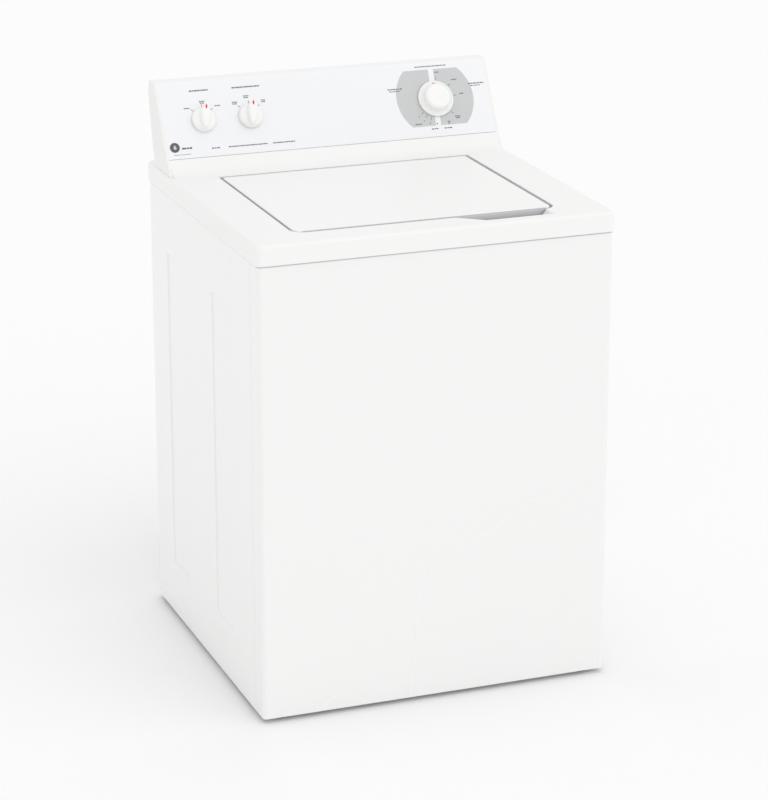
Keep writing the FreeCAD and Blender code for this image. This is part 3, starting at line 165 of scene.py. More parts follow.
class Paint:
    """One material with one glossy shader; its methods add what the surface needs."""

    def __init__(self, name, base, roughness, metallic=0.0, coat=0.0, specular=0.5):
        self.material = bpy.data.materials.new(name)
        self.material.use_nodes = True
        self.material.diffuse_color = (*base, 1)
        self.tree = self.material.node_tree
        self.shader = [node for node in self.tree.nodes if node.type == "BSDF_PRINCIPLED"][0]
        self.shader.inputs["Base Color"].default_value = (*base, 1)
        self.shader.inputs["Roughness"].default_value = roughness
        self.shader.inputs["Metallic"].default_value = metallic
        self.shader.inputs["Coat Weight"].default_value = coat
        self.shader.inputs["Coat Roughness"].default_value = 0.08
        self.shader.inputs["Specular IOR Level"].default_value = specular
        self.base = base
        self.place = self.node("ShaderNodeTexCoord", {}, {}, "Object")

    def node(self, kind, settings, values, output=0):
        """Adds a node: its settings first, then the values or links of its sockets."""
        node = self.tree.nodes.new(kind)
        for name, setting in settings.items():
            if name == "stops":
                self.set_stops(node.color_ramp, setting)
            else:
                setattr(node, name, setting)
        for name, value in values.items():
            if isinstance(value, Value):
                self.tree.links.new(value.socket, node.inputs[name])
            else:
                node.inputs[name].default_value = value
        return Value(self, node.outputs[output])

    @staticmethod
    def set_stops(ramp, stops):
        for element, (position, shade) in zip(ramp.elements, stops):
            element.position = position
            element.color = (shade, shade, shade, 1)

    def stretched(self, x, y, z):
        return self.node("ShaderNodeMapping", {}, {"Vector": self.place, "Scale": (x, y, z)})

    def axis(self, letter):
        return self.node("ShaderNodeSeparateXYZ", {}, {"Vector": self.place}, letter)

    def noise(self, scale, detail=2.0, place=None):
        return self.node("ShaderNodeTexNoise", {}, {"Vector": place or self.place, "Scale": scale,
                                                    "Detail": detail}, "Fac")

    def cells(self, scale, output="Distance"):
        return self.node("ShaderNodeTexVoronoi", {}, {"Vector": self.place, "Scale": scale}, output)

    def ramp(self, value, start, end):
        return self.node("ShaderNodeValToRGB", {"stops": (start, end)}, {"Fac": value})

    def mix(self, first, second, factor):
        first, second = [(*shade, 1) if isinstance(shade, tuple) else shade for shade in (first, second)]
        return self.node("ShaderNodeMix", {"data_type": "RGBA"}, {0: factor, 6: first, 7: second}, 2)

    def toned(self, darker, factor):
        """The base colour, shaded by a factor towards a darker copy of itself."""
        return self.mix(self.base, tuple(channel * darker for channel in self.base), factor)

    def feed(self, socket, value):
        self.tree.links.new(value.socket, self.shader.inputs[socket])

    def bump(self, height, strength, distance):
        self.feed("Normal", self.node("ShaderNodeBump", {}, {"Height": height, "Strength": strength,
                                                            "Distance": distance}, "Normal"))


def enamel(name, base, extra=None, roughness=0.26, coat=0.35):
    """Glossy baked enamel on sheet steel: faint orange peel and a slow drift of tone."""
    paint = Paint(name, base, roughness, coat=coat)
    drift = paint.noise(1.6, 2)
    shade = paint.toned(0.975, drift * 0.6 + paint.noise(700, 2) * 0.15)
    paint.feed("Base Color", extra(paint, shade) if extra else shade)
    paint.feed("Roughness", roughness - 0.02 + drift * 0.06)
    paint.bump(paint.noise(190, 2), 0.02, 0.0005)
    return paint.material


def painted_seam_shade(paint, shade):
    """Painted shade: a band of the cabinet's enamel darkened towards grey in the seam right under the edge of the top
    cover, where the cover's overhang casts its shadow.
    """
    seam = 0.003
    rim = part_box("cabinet_wrapper")[1].z
    height = paint.axis("Z")
    under = (height > rim - seam) * (height < rim + seam)
    # painted shadow of the cover's overhang, mixed into the band's colour
    return paint.mix(shade, (0.34, 0.35, 0.36), under * 0.6)


def lid_gap_painted_shade(paint, shade):
    """Painted shade: darkens the strip of the recess below the lid's edge, where the gap lies in shadow, less on the
    far side, and tints the finger notch a little towards bluish grey for the shade on its inner wall.
    """
    finish = bpy.context.scene.washer_finish
    low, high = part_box("lid")
    gap = 0.006
    strip = 0.012
    x = abs(paint.axis("X"))
    y = paint.axis("Y")
    below = paint.axis("Z") < high.z - 0.0025
    inside = (x < high.x + gap * 1.2) * (y > low.y - gap * 1.2) * (y < high.y + gap * 1.2)
    ledge = (x < high.x + gap - strip) * (y > low.y - gap + strip) * (y < high.y + gap - strip)
    notch = (y < low.y - gap) * (y > low.y - 0.05) * (x < high.x) * below
    far_side = paint.axis("X") > high.x - strip
    # painted shade in the gap round the lid, weaker on the far side
    shade = paint.mix(shade, tuple(finish.painted_gap_shade), inside * (1 - ledge) * below * (0.55 - far_side * 0.3))
    # painted shade on the finger notch
    return paint.mix(shade, (0.62, 0.65, 0.69), notch * 0.55)


def lid_edge_painted_shade(paint, shade):
    """Painted shade on the lid's own upright edge, which sits in the shade of the gap, and a painted dark strip along
    the top of the lid's front edge that stands for the shadowed gap.
    """
    finish = bpy.context.scene.washer_finish
    low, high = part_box("lid")
    below = paint.axis("Z") < high.z - 0.0014
    painted_gap_line = (paint.axis("Y") < low.y + 0.0035) * (1 - below)
    # painted shade: the upright edge and the front strip mixed towards the gap's shade colour
    return paint.mix(shade, tuple(finish.painted_gap_shade), below * 0.5 + painted_gap_line * 0.7)


def moulded(name, base, roughness=0.42, grain=900, depth=0.1, coat=0.0):
    """Injection moulded plastic: fine spark grain, slow tone drift and rubbed patches."""
    paint = Paint(name, base, roughness, coat=coat)
    drift = paint.noise(5, 3)
    fine = paint.noise(grain, 3)
    rub = paint.ramp(paint.noise(30, 4), (0.5, 0), (0.8, 1))
    paint.feed("Base Color", paint.toned(0.95, drift * 0.5 + fine * 0.15))
    paint.feed("Roughness", roughness - 0.05 + fine * 0.1 - rub * 0.06)
    paint.bump(fine, depth, 0.0003)
    return paint.material


def galvanised(name, base):
    """Zinc coated sheet: large spangles of slightly different grey with fine rolling lines."""
    paint = Paint(name, base, 0.42, metallic=0.85)
    spangle = paint.node("ShaderNodeRGBToBW", {}, {"Color": paint.cells(80, "Color")})
    rolled = paint.noise(50, 3, paint.stretched(1, 1, 30))
    paint.feed("Base Color", paint.toned(0.74, spangle * 0.7 + rolled * 0.25))
    paint.feed("Roughness", 0.34 + spangle * 0.16 + rolled * 0.06)
    paint.bump(rolled, 0.08, 0.0004)
    return paint.material


def turned_steel(name, base, roughness=0.28):
    """Turned or ground steel: fine rings along the axis under a light oil film."""
    paint = Paint(name, base, roughness, metallic=1.0)
    rings = paint.noise(40, 2, paint.stretched(1, 1, 60))
    film = paint.noise(25, 4)
    paint.feed("Base Color", paint.toned(0.7, rings * 0.4 + film * 0.3))
    paint.feed("Roughness", roughness - 0.04 + rings * 0.12 + film * 0.08)
    paint.bump(rings, 0.1, 0.0003)
    return paint.material


def cast_metal(name, base):
    """Die cast alloy: pitted skin with darker hollows."""
    paint = Paint(name, base, 0.5, metallic=0.9)
    pits = paint.ramp(paint.cells(420), (0.0, 0), (0.35, 1))
    cloud = paint.noise(30, 5)
    paint.feed("Base Color", paint.toned(0.62, cloud * 0.5 + (1 - pits) * 0.4))
    paint.feed("Roughness", 0.42 + cloud * 0.2)
    paint.bump(pits * 0.6 + cloud * 0.4, 0.25, 0.0006)
    return paint.material


def dipped_metal(name, base):
    """Black dipped steel: thick paint with soft sags and settled dust."""
    paint = Paint(name, base, 0.35, coat=0.3)
    sag = paint.noise(22, 3, paint.stretched(1, 1, 0.35))
    dust = paint.ramp(paint.noise(180, 4), (0.55, 0), (0.8, 1))
    paint.feed("Base Color", paint.mix(base, (0.2, 0.2, 0.2), dust * 0.35))
    paint.feed("Roughness", 0.3 + dust * 0.3)
    paint.bump(sag, 0.2, 0.001)
    return paint.material


def speckled_enamel(name, base):
    """Porcelain enamel of a wash basket: small darker specks in a glassy coat."""
    paint = Paint(name, base, 0.16, coat=0.7)
    specks = paint.ramp(paint.cells(330), (0.1, 1), (0.2, 0))
    drift = paint.noise(5, 3)
    paint.feed("Base Color", paint.mix(base, (0.28, 0.33, 0.4), specks * 0.75 + drift * 0.06))
    paint.feed("Roughness", 0.14 + drift * 0.08)
    paint.bump(paint.noise(200, 2), 0.05, 0.0005)
    return paint.material


def soft_rubber(name, base):
    """Moulded rubber: dull, faintly bloomed, with a fine grain."""
    paint = Paint(name, base, 0.7, specular=0.35)
    bloom = paint.noise(45, 5)
    paint.feed("Base Color", paint.mix(base, tuple(min(1, channel + 0.09) for channel in base), bloom * 0.6))
    paint.feed("Roughness", 0.6 + bloom * 0.2)
    paint.bump(paint.noise(1200, 2), 0.2, 0.0003)
    return paint.material


def printed(name, base, roughness=0.45):
    """Screen printed ink with a slightly uneven cover."""
    paint = Paint(name, base, roughness)
    cover = paint.noise(1500, 3)
    cloud = paint.noise(40, 3)
    paint.feed("Base Color", paint.toned(0.92, cover * 0.3 + cloud * 0.4))
    paint.feed("Roughness", roughness - 0.05 + cover * 0.12)
    paint.bump(cover, 0.04, 0.0001)
    return paint.material


def make_materials(finish):
    """Every finish by its slot name, and the printed ones that only new pieces use."""
    base = {entry["slot"]: tuple(entry["base_color"][:3]) for entry in frame["record"]["materials"]}
    return {
        "cabinet_enamel": enamel("cabinet_enamel", tuple(finish.enamel), painted_seam_shade),
        "top_enamel": enamel("top_enamel", tuple(finish.top_enamel), lid_gap_painted_shade, 0.4, 0.1),
        "lid_enamel": enamel("lid_enamel", tuple(finish.lid_enamel), lid_edge_painted_shade, 0.44, 0.05),
        "pan_enamel": enamel("pan_enamel", tuple(finish.lid_enamel)),
        "panel_plastic": moulded("panel_plastic", tuple(finish.panel), 0.36, 1100, 0.04, coat=0.15),
        "end_cap_plastic": moulded("end_cap_plastic", tuple(finish.end_cap), 0.5, 800, 0.1),
        "knob_plastic": moulded("knob_plastic", tuple(finish.knob), 0.28, 1400, 0.02, coat=0.3),
        "zinc_steel": galvanised("zinc_steel", base["zinc_steel"]),
        "bright_steel": turned_steel("bright_steel", base["bright_steel"]),
        "spring_steel": turned_steel("spring_steel", base["spring_steel"], 0.4),
        "dark_steel": dipped_metal("dark_steel", base["dark_steel"]),
        "cast_alloy": cast_metal("cast_alloy", base["cast_alloy"]),
        "basket_enamel": speckled_enamel("basket_enamel", base["basket_enamel"]),
        "tub_plastic": moulded("tub_plastic", base["tub_plastic"], 0.5, 500, 0.2),
        "ring_plastic": moulded("ring_plastic", base["ring_plastic"], 0.42, 700, 0.1),
        "agitator_plastic": moulded("agitator_plastic", base["agitator_plastic"], 0.3, 900, 0.04, coat=0.2),
        "bush_nylon": moulded("bush_nylon", base["bush_nylon"], 0.45, 700, 0.1),
        "black_plastic": moulded("black_plastic", base["black_plastic"], 0.5, 700, 0.25),
        "rubber_black": soft_rubber("rubber_black", base["rubber_black"]),
        "rubber_grey": soft_rubber("rubber_grey", base["rubber_grey"]),
        "dial_print": printed("dial_print", tuple(finish.dial_grey)),
        "ink_print": printed("ink_print", tuple(finish.ink)),
        "pointer_paint": printed("pointer_paint", tuple(finish.pointer_red), 0.35),
    }


MATERIALS = {}


# ------------------------------------------------------------------ modelling by hand

def deselect():
    bpy.ops.object.select_all(action="DESELECT")


def activate(piece):
    deselect()
    piece.select_set(True)
    bpy.context.view_layer.objects.active = piece


class Editing:
    """Edit mode on one piece, with nothing selected at the start."""

    def __init__(self, piece):
        self.piece = piece

    def __enter__(self):
        activate(self.piece)
        bpy.ops.object.mode_set(mode="EDIT")
        self.only("VERT")
        bpy.ops.mesh.select_all(action="DESELECT")
        return self

    def __exit__(self, *error):
        bpy.ops.object.mode_set(mode="OBJECT")

    def only(self, kind):
        bpy.context.tool_settings.mesh_select_mode = (kind == "VERT", kind == "EDGE", kind == "FACE")

    def every(self, kind):
        self.only(kind)
        bpy.ops.mesh.select_all(action="SELECT")

    def pick(self, kind, test):
        """Selects just the elements whose test holds."""
        self.only(kind)
        bpy.ops.mesh.select_all(action="DESELECT")
        mesh = bmesh.from_edit_mesh(self.piece.data)
        chosen = [item for item in {"VERT": mesh.verts, "EDGE": mesh.edges, "FACE": mesh.faces}[kind] if test(item)]
        if not chosen:
            raise RuntimeError("nothing to pick on " + self.piece.name)
        for item in chosen:
            item.select_set(True)
        mesh.select_flush_mode()
        bmesh.update_edit_mesh(self.piece.data)


def middle(item):
    return sum((vertex.co for vertex in item.verts), Vector()) / len(item.verts)


def modifier(piece, kind, **settings):
    activate(piece)
    added = piece.modifiers.new(kind.lower(), kind)
    for name, value in settings.items():
        setattr(added, name, value)
    bpy.ops.object.modifier_apply(modifier=added.name)


def outward(piece):
    with Editing(piece) as edit:
        edit.every("VERT")
        bpy.ops.mesh.remove_doubles(threshold=0.00001)
        bpy.ops.mesh.normals_make_consistent(inside=False)


def settle(piece):
    """Puts a piece's place, turn and size into its mesh."""
    activate(piece)
    bpy.ops.object.transform_apply(location=True, rotation=True, scale=True)


def turned(name, profile, segments=96, closed=False):
    """A round piece drawn ring by ring; each (radius, height) in millimetres extrudes the last ring.
    A closed profile comes back to its start, and any other is capped at both ends."""
    deselect()
    radius, height = profile[0]
    bpy.ops.mesh.primitive_circle_add(vertices=segments, radius=radius * MM, location=(0, 0, height * MM),
                                      fill_type="NOTHING" if closed else "NGON")
    piece = bpy.context.object
    piece.name = name
    settle(piece)
    with Editing(piece) as edit:
        edit.every("EDGE")
        for (last_radius, last_height), (radius, height) in zip(profile, profile[1:]):
            rise = (height - last_height) * MM
            bpy.ops.mesh.extrude_edges_move(TRANSFORM_OT_translate={"value": (0, 0, rise)})
            grow = radius / last_radius
            bpy.ops.transform.resize(value=(grow, grow, 1), center_override=(0, 0, height * MM))
        if not closed:
            bpy.ops.mesh.edge_face_add()
    outward(piece)
    return piece


def plate(name, outline, low, high):
    """A flat plate whose outline is walked point by point, between two heights, in millimetres."""
    deselect()
    across, up = outline[0]
    bpy.ops.mesh.primitive_plane_add(size=MM, location=(across * MM, up * MM, low * MM))
    piece = bpy.context.object
    piece.name = name
    settle(piece)
    with Editing(piece) as edit:
        edit.every("VERT")
        bpy.ops.mesh.merge(type="CENTER")
        for last, point in zip(outline, outline[1:]):
            step = ((point[0] - last[0]) * MM, (point[1] - last[1]) * MM, 0)
            bpy.ops.mesh.extrude_vertices_move(TRANSFORM_OT_translate={"value": step})
        edit.every("VERT")
        bpy.ops.mesh.edge_face_add()
        edit.every("FACE")
        bpy.ops.mesh.extrude_region_move(TRANSFORM_OT_translate={"value": (0, 0, (high - low) * MM)})
    outward(piece)
    return piece


def block(name, low, high, radius, segments=3):
    """A block between two corners in metres, with every edge rounded."""
    low, high = Vector(low), Vector(high)
    deselect()
    bpy.ops.mesh.primitive_cube_add(size=1, location=(low + high) / 2, scale=high - low)
    piece = bpy.context.object
    piece.name = name
    settle(piece)
    modifier(piece, "BEVEL", width=radius, segments=segments, limit_method="ANGLE")
    return piece


def joined(name, pieces):
    deselect()
    for piece in pieces:
        piece.select_set(True)
    bpy.context.view_layer.objects.active = pieces[0]
    if len(pieces) > 1:
        bpy.ops.object.join()
    pieces[0].name = name
    return pieces[0]


def welded(piece, other):
    """The union of two overlapping pieces, as one skin."""
    modifier(piece, "BOOLEAN", operation="UNION", object=other, solver="EXACT")
    bpy.data.objects.remove(other)
    return piece


def spun(piece, count, start=0.0):
    """Copies of a piece round the upright axis, the first turned by a start angle in degrees."""
    ring = []
    for number in range(count):
        activate(piece)
        bpy.ops.object.duplicate()
        copy = bpy.context.object
        copy.rotation_euler = (0, 0, math.radians(start + 360 * number / count))
        settle(copy)
        ring.append(copy)
    name = piece.name
    bpy.data.objects.remove(piece)
    return joined(name, ring)


def smooth(piece, angle=35):
    activate(piece)
    bpy.ops.object.shade_smooth_by_angle(angle=math.radians(angle))


def done(piece, body, material, replaces=(), angle=35):
    """Finishes a piece: its material, its smoothing, its body and the nodes it stands for."""
    piece.data.name = piece.name
    piece.data.materials.clear()
    piece.data.materials.append(MATERIALS[material])
    smooth(piece, angle)
    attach(piece, body)
    if replaces:
        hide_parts(*replaces)
    return piece


# ------------------------------------------------------------------ places on the console

JOINT_PLACES = {joint["name"]: Vector(joint["pos_m"]) for joint in frame["joints"] if "pos_m" in joint}
SEAM_GAP = 0.8


def face_frame():
    """The console face: origin at the middle of its lower edge, X along it, Y up the slope, Z out."""
    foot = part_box("control_panel")[0]
    gap = SEAM_GAP * MM
    place = Vector((0, foot.y - gap * math.sin(LEAN), foot.z - gap * math.cos(LEAN)))
    return Matrix.Translation(place) @ Matrix.Rotation(math.pi / 2 - LEAN, 4, "X")


def face_spot(joint):
    """Where a control's axis meets the face: along it and up the slope, in millimetres."""
    spot = face_frame().inverted() @ JOINT_PLACES[joint]
    return spot.x / MM, spot.y / MM


def on_face(piece, across=0.0, up=0.0, turn=0.0):
    """Lays a piece drawn flat at the origin on the console face; the turn is clockwise in degrees."""
    spot = Matrix.Translation((across * MM, up * MM, 0)) @ Matrix.Rotation(-math.radians(turn), 4, "Z")
    piece.matrix_world = face_frame() @ spot
    settle(piece)
    return piece


def around(centre, angle, radius):
    """A point round a control, the angle clockwise from the top in degrees."""
    return (centre[0] + radius * math.sin(math.radians(angle)), centre[1] + radius * math.cos(math.radians(angle)))


def bar(wide, high, lift):
    """A small printed bar, drawn at the origin."""
    return plate("bar", [(-wide / 2, -high / 2), (wide / 2, -high / 2), (wide / 2, high / 2),
                         (-wide / 2, high / 2)], 0, lift)


def line_of_bars(start, end, up, high, lift, pattern=(5, 3, 6, 4, 2, 5, 3)):
    """A row of short bars of uneven length that stands for a line of small print."""
    pieces = []
    across = start
    number = 0
    gap = 1.1
    while across < end - 1:
        wide = min(pattern[number % len(pattern)], end - across)
        pieces.append(on_face(bar(wide, high, lift), across + wide / 2, up))
        across += wide + gap
        number += 1
    return pieces


def label(centre, wide, rows, lift):
    """One or two short rows of bars that stand for the word beside a stop."""
    pieces = []
    for row in range(rows):
        up = centre[1] + (rows - 1) * 1.7 - row * 3.4
        narrow = wide * (1 - 0.2 * row)
        pieces += line_of_bars(centre[0] - narrow / 2, centre[0] + narrow / 2, up, 2.1, lift, (3, 4, 2, 5))
    return pieces


def figures(text, size, lift, place):
    """Printed figures, laid on the face about their own middle."""
    deselect()
    bpy.ops.object.text_add(location=(0, 0, 0))
    words = bpy.context.object
    words.data.body = text
    words.data.size = size
    words.data.align_x = "CENTER"
    words.data.align_y = "CENTER"
    words.data.resolution_u = 3
    words.data.extrude = lift * MM / 2
    bpy.ops.object.convert(target="MESH")
    piece = bpy.context.object
    return on_face(piece, *place)


# ------------------------------------------------------------------ stage and finishes

class WASHER_OT_stage(bpy.types.Operator):
    """Camera, plain floor and soft lights"""
    bl_idname = "washer.stage"
    bl_label = "Stage"

    def execute(self, context):
        stage = context.scene.washer_stage
        deselect()
        bpy.ops.object.camera_add(location=stage.camera_place,
                                  rotation=(math.radians(90 - stage.elevation), 0, math.radians(stage.azimuth)))
        camera = context.object
        camera.name = "camera"
        camera.data.lens = stage.lens
        camera.data.sensor_width = 36
        camera.data.clip_end = 60
        context.scene.camera = camera
        bpy.ops.mesh.primitive_plane_add(size=40, location=(0, 0, 0))
        floor = context.object
        floor.name = "floor"
        paint = Paint("studio_floor", (0.97, 0.97, 0.97), 0.8, specular=0.05)
        paint.feed("Base Color", paint.toned(0.992, paint.noise(1.5, 3)))
        floor.data.materials.append(paint.material)
        key_turn = (math.radians(44), 0, math.radians(32))
        bpy.ops.object.light_add(type="SUN", location=(2.4, -3.6, 4), rotation=key_turn)
        key = context.object
        key.name = "key_light"
        key.data.energy = stage.key
        key.data.angle = math.radians(70)
        world = bpy.data.worlds.new("surround")
        context.scene.world = world
        world.use_nodes = True
        background = [node for node in world.node_tree.nodes if node.type == "BACKGROUND"][0]
        background.inputs["Color"].default_value = (1, 1, 1, 1)
        background.inputs["Strength"].default_value = stage.sky
        context.scene.view_settings.view_transform = "Standard"
        return {"FINISHED"}


class WASHER_OT_finishes(bpy.types.Operator):
    """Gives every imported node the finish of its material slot"""
    bl_idname = "washer.finishes"
    bl_label = "Finishes"

    def execute(self, context):
        MATERIALS.update(make_materials(context.scene.washer_finish))
        slots = {entry["node"]: entry["material_slot"] for entry in frame["record"]["subparts"]}
        for node, piece in frame["nodes"].items():
            for place in piece.material_slots:
                place.material = MATERIALS[slots[node]]
        return {"FINISHED"}


# ------------------------------------------------------------------ console

class WASHER_OT_dial_field(bpy.types.Operator):
    """Grey field printed round the timer knob, cut off above and below and split by a white strip"""
    bl_idname = "washer.dial_field"
    bl_label = "Dial field"

    def execute(self, context):
        console = context.scene.washer_console
        across, up = face_spot("timer_turn")
        centre_up = up + 3
        halves = []
        for side in (-1, 1):
            deselect()
            bpy.ops.mesh.primitive_circle_add(vertices=128, radius=console.dial_radius, fill_type="NGON")
            half = context.object
            shift = 2 * MM if side > 0 else 0
            cuts = [((0, console.dial_low - centre_up * MM, 0), (0, -1, 0)),
                    ((0, console.dial_high - centre_up * MM, 0), (0, 1, 0)),
                    ((side * console.dial_strip / 2 - shift, 0, 0), (-side, 0.035 * side, 0))]
            with Editing(half) as edit:
                for place, normal in cuts:
                    edit.every("FACE")
                    bpy.ops.mesh.bisect(plane_co=place, plane_no=normal, use_fill=False, clear_outer=True)
                edit.every("FACE")
                bpy.ops.mesh.extrude_region_move(TRANSFORM_OT_translate={"value": (0, 0, console.print_lift)})
            outward(half)
            halves.append(on_face(half, across, centre_up))
        done(joined("dial_field", halves), "cabinet", "dial_print")
        return {"FINISHED"}


class WASHER_OT_console_marks(bpy.types.Operator):
    """Ticks, figures and lines of small bars printed on the console face"""
    bl_idname = "washer.console_marks"
    bl_label = "Console marks"

    def execute(self, context):
        console = context.scene.washer_console
        lift = console.print_lift / MM
        over = lift * 1.6
        tick = console.tick / MM
        timer = face_spot("timer_turn")
        marks = []
        for angle in (11, 52, 84, 135, 202, 216, 230):
            marks.append(on_face(bar(tick, 7, over), *around(timer, angle, 43), angle))
        for angle, text in ((202, "8"), (216, "6"), (230, "4")):
            marks.append(figures(text, console.figure, over * 2, around(timer, angle, 53)))
        for angle, radius, wide, rows in ((13, 56, 8, 1), (52, 60, 13, 1), (83, 58, 10, 1), (135, 57, 11, 2),
                                          (158, 54, 6, 2), (222, 66, 14, 1)):
            marks += label(around(timer, angle, radius), wide, rows, over)
        marks.append(on_face(bar(2.4, 2.4, over), *around(timer, 186, 51)))
        for start, end, up, high in ((-31, 35, 68, 1.9), (-96, -66, 26, 2.2), (-93, -72, 21.5, 1.6),
                                     (75, 108, 26, 2.2), (78, 99, 21.5, 1.6), (-19, -5, -61, 2.0), (8, 26, -61, 2.0)):
            marks += line_of_bars(timer[0] + start, timer[0] + end, timer[1] + up, high, lift)
        for joint, heading, stops in (("water_level_turn", 19, ((-29, 26, 12, 1), (3, 36, 11, 2), (33, 27, 12, 1))),
                                      ("temperature_turn", 28, ((-27, 29, 11, 2), (-2, 40, 12, 2), (31, 29, 9, 2)))):
            knob = face_spot(joint)
            marks += line_of_bars(knob[0] - heading, knob[0] + heading, knob[1] + 60, 2.6, lift)
            for angle in (-42, 2, 44):
                marks.append(on_face(bar(tick, 6, over), *around(knob, angle, 29), angle))
            for across, up, wide, rows in stops:
                marks += label((knob[0] + across, knob[1] + up), wide, rows, lift)
        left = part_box("control_panel")[0].x / MM
        for start, end in ((87, 105), (121, 200), (211, 256)):
            marks += line_of_bars(left + start, left + end, 17, 2.1, lift)
        marks += line_of_bars(left + 28, left + 48, 21, 3.2, lift, (8, 4, 7))
        marks.append(on_face(bar(34, 0.7, lift), left + 27, 9))
        done(joined("console_marks", marks), "cabinet", "ink_print")
        return {"FINISHED"}


class WASHER_OT_badge(bpy.types.Operator):
    """Plain round badge at the left foot of the console face: a ring round a drop"""
    bl_idname = "washer.badge"
    bl_label = "Badge"

    def execute(self, context):
        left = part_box("control_panel")[0].x / MM
        disc = turned("badge", [(9.6, 0), (9.6, 0.7), (9.2, 1.0), (8.3, 1.0), (8.1, 0.8), (7.5, 0.8), (7.3, 1.0),
                                (0.5, 1.0)], 64)
        done(on_face(disc, left + 14, 24), "cabinet", "ink_print")
        drop = [(0, 5.2)]
        for step in range(9):
            angle = math.radians(-35 + 250 * step / 8)
            drop.append((3.1 * math.cos(angle), -1.2 - 3.1 * math.sin(angle)))
        shape = plate("badge_drop", drop, 0.9, 1.2)
        done(on_face(shape, left + 14, 24), "cabinet", "dial_print")
        return {"FINISHED"}


class WASHER_OT_timer_knob(bpy.types.Operator):
    """Timer knob: a dished skirt with a raised rim round a fluted grip, and its red pointer"""
    bl_idname = "washer.timer_knob"
    bl_label = "Timer knob"

    def execute(self, context):
        flutes = context.scene.washer_console.flutes
        profile = [(35.4, 1), (36.4, 1.6), (36.5, 4.2), (36.0, 5.8), (35.1, 6.5), (34.0, 6.6), (33.1, 6.1),
                   (32.2, 5.3), (31.0, 5.1), (30.0, 5.5), (29.2, 6.6), (28.4, 8.4), (26.4, 15.6), (25.4, 17.8),
                   (23.8, 19.5), (21.6, 20.6), (19.0, 21), (16, 20.9), (9, 20.5), (1, 20.3)]
        knob = turned("timer_knob_moulding", profile, flutes * 4)
        step = 2 * math.pi / flutes

        def on_flute(face):
            place = middle(face)
            radius = place.xy.length / MM
            turn = math.atan2(place.y, place.x) % step
            return 26 < radius < 28.6 and 9 < place.z / MM < 15 and turn < step / 2

        with Editing(knob) as edit:
            edit.pick("FACE", on_flute)
            bpy.ops.mesh.inset(thickness=0.0005, depth=-0.0007)
        spot = face_spot("timer_turn")
        done(on_face(knob, *spot), "timer_knob", "knob_plastic", replaces=("timer_knob",))
        pointer = plate("timer_pointer", [(-2.6, 26.8), (2.6, 26.8), (1.6, 32.0), (-1.6, 32.0)], 4.6, 5.6)
        modifier(pointer, "BEVEL", width=0.0004, segments=2)
        done(on_face(pointer, *spot), "timer_knob", "pointer_paint")
        return {"FINISHED"}


class WASHER_OT_pointer_knobs(bpy.types.Operator):
    """The two small knobs: a domed skirt, a tapered grip with rounded edges and a red pointer at its nose"""
    bl_idname = "washer.pointer_knobs"
    bl_label = "Pointer knobs"

    def execute(self, context):
        turn = 10
        for joint, node, body in (("water_level_turn", "water_level_knob", "water_level_control"),
                                  ("temperature_turn", "temperature_knob", "temperature_control")):
            knob = turned("skirt", [(23.2, 1), (23.9, 1.8), (24, 4.6), (23.5, 7), (22.2, 8.8), (20, 10),
                                    (16, 10.8), (9, 11.2), (1, 11.4)], 72)
            grip = plate("grip", [(-3.4, -21.5), (3.4, -21.5), (6.8, -14), (9.8, -2), (11.4, 9), (10.2, 18),
                                  (5.6, 24.4), (0, 26.4), (-5.6, 24.4), (-10.2, 18), (-11.4, 9), (-9.8, -2),
                                  (-6.8, -14)], 6, 22.6)
            with Editing(grip) as edit:
                edit.pick("FACE", lambda face: face.normal.z > 0.9)
                bpy.ops.transform.resize(value=(0.72, 0.92, 1), center_override=(0, 0, 0.0226))
            modifier(grip, "BEVEL", width=0.0024, segments=4, limit_method="ANGLE", angle_limit=math.radians(40))
            welded(knob, grip)
            knob.name = node + "_moulding"
            spot = face_spot(joint)
            done(on_face(knob, *spot, turn), body, "knob_plastic", replaces=(node,), angle=40)
            pointer = plate(node.replace("knob", "pointer"), [(-1.3, 17), (1.3, 17), (2.0, 23.2), (0, 25.6),
                                                               (-2.0, 23.2)], 16, 22.95)
            modifier(pointer, "BEVEL", width=0.0003, segments=2)
            done(on_face(pointer, *spot, turn), body, "pointer_paint")
        return {"FINISHED"}


# ------------------------------------------------------------------ tub

def rounded_corner(radius, height, round_by, steps=5):
    """Points of the round corner between a floor and a wall."""
    points = []
    for step in range(steps + 1):
        angle = math.radians(90 * step / steps)
        across = radius - round_by + round_by * math.sin(angle)
        points.append((across, height + round_by - round_by * math.cos(angle)))
    return points


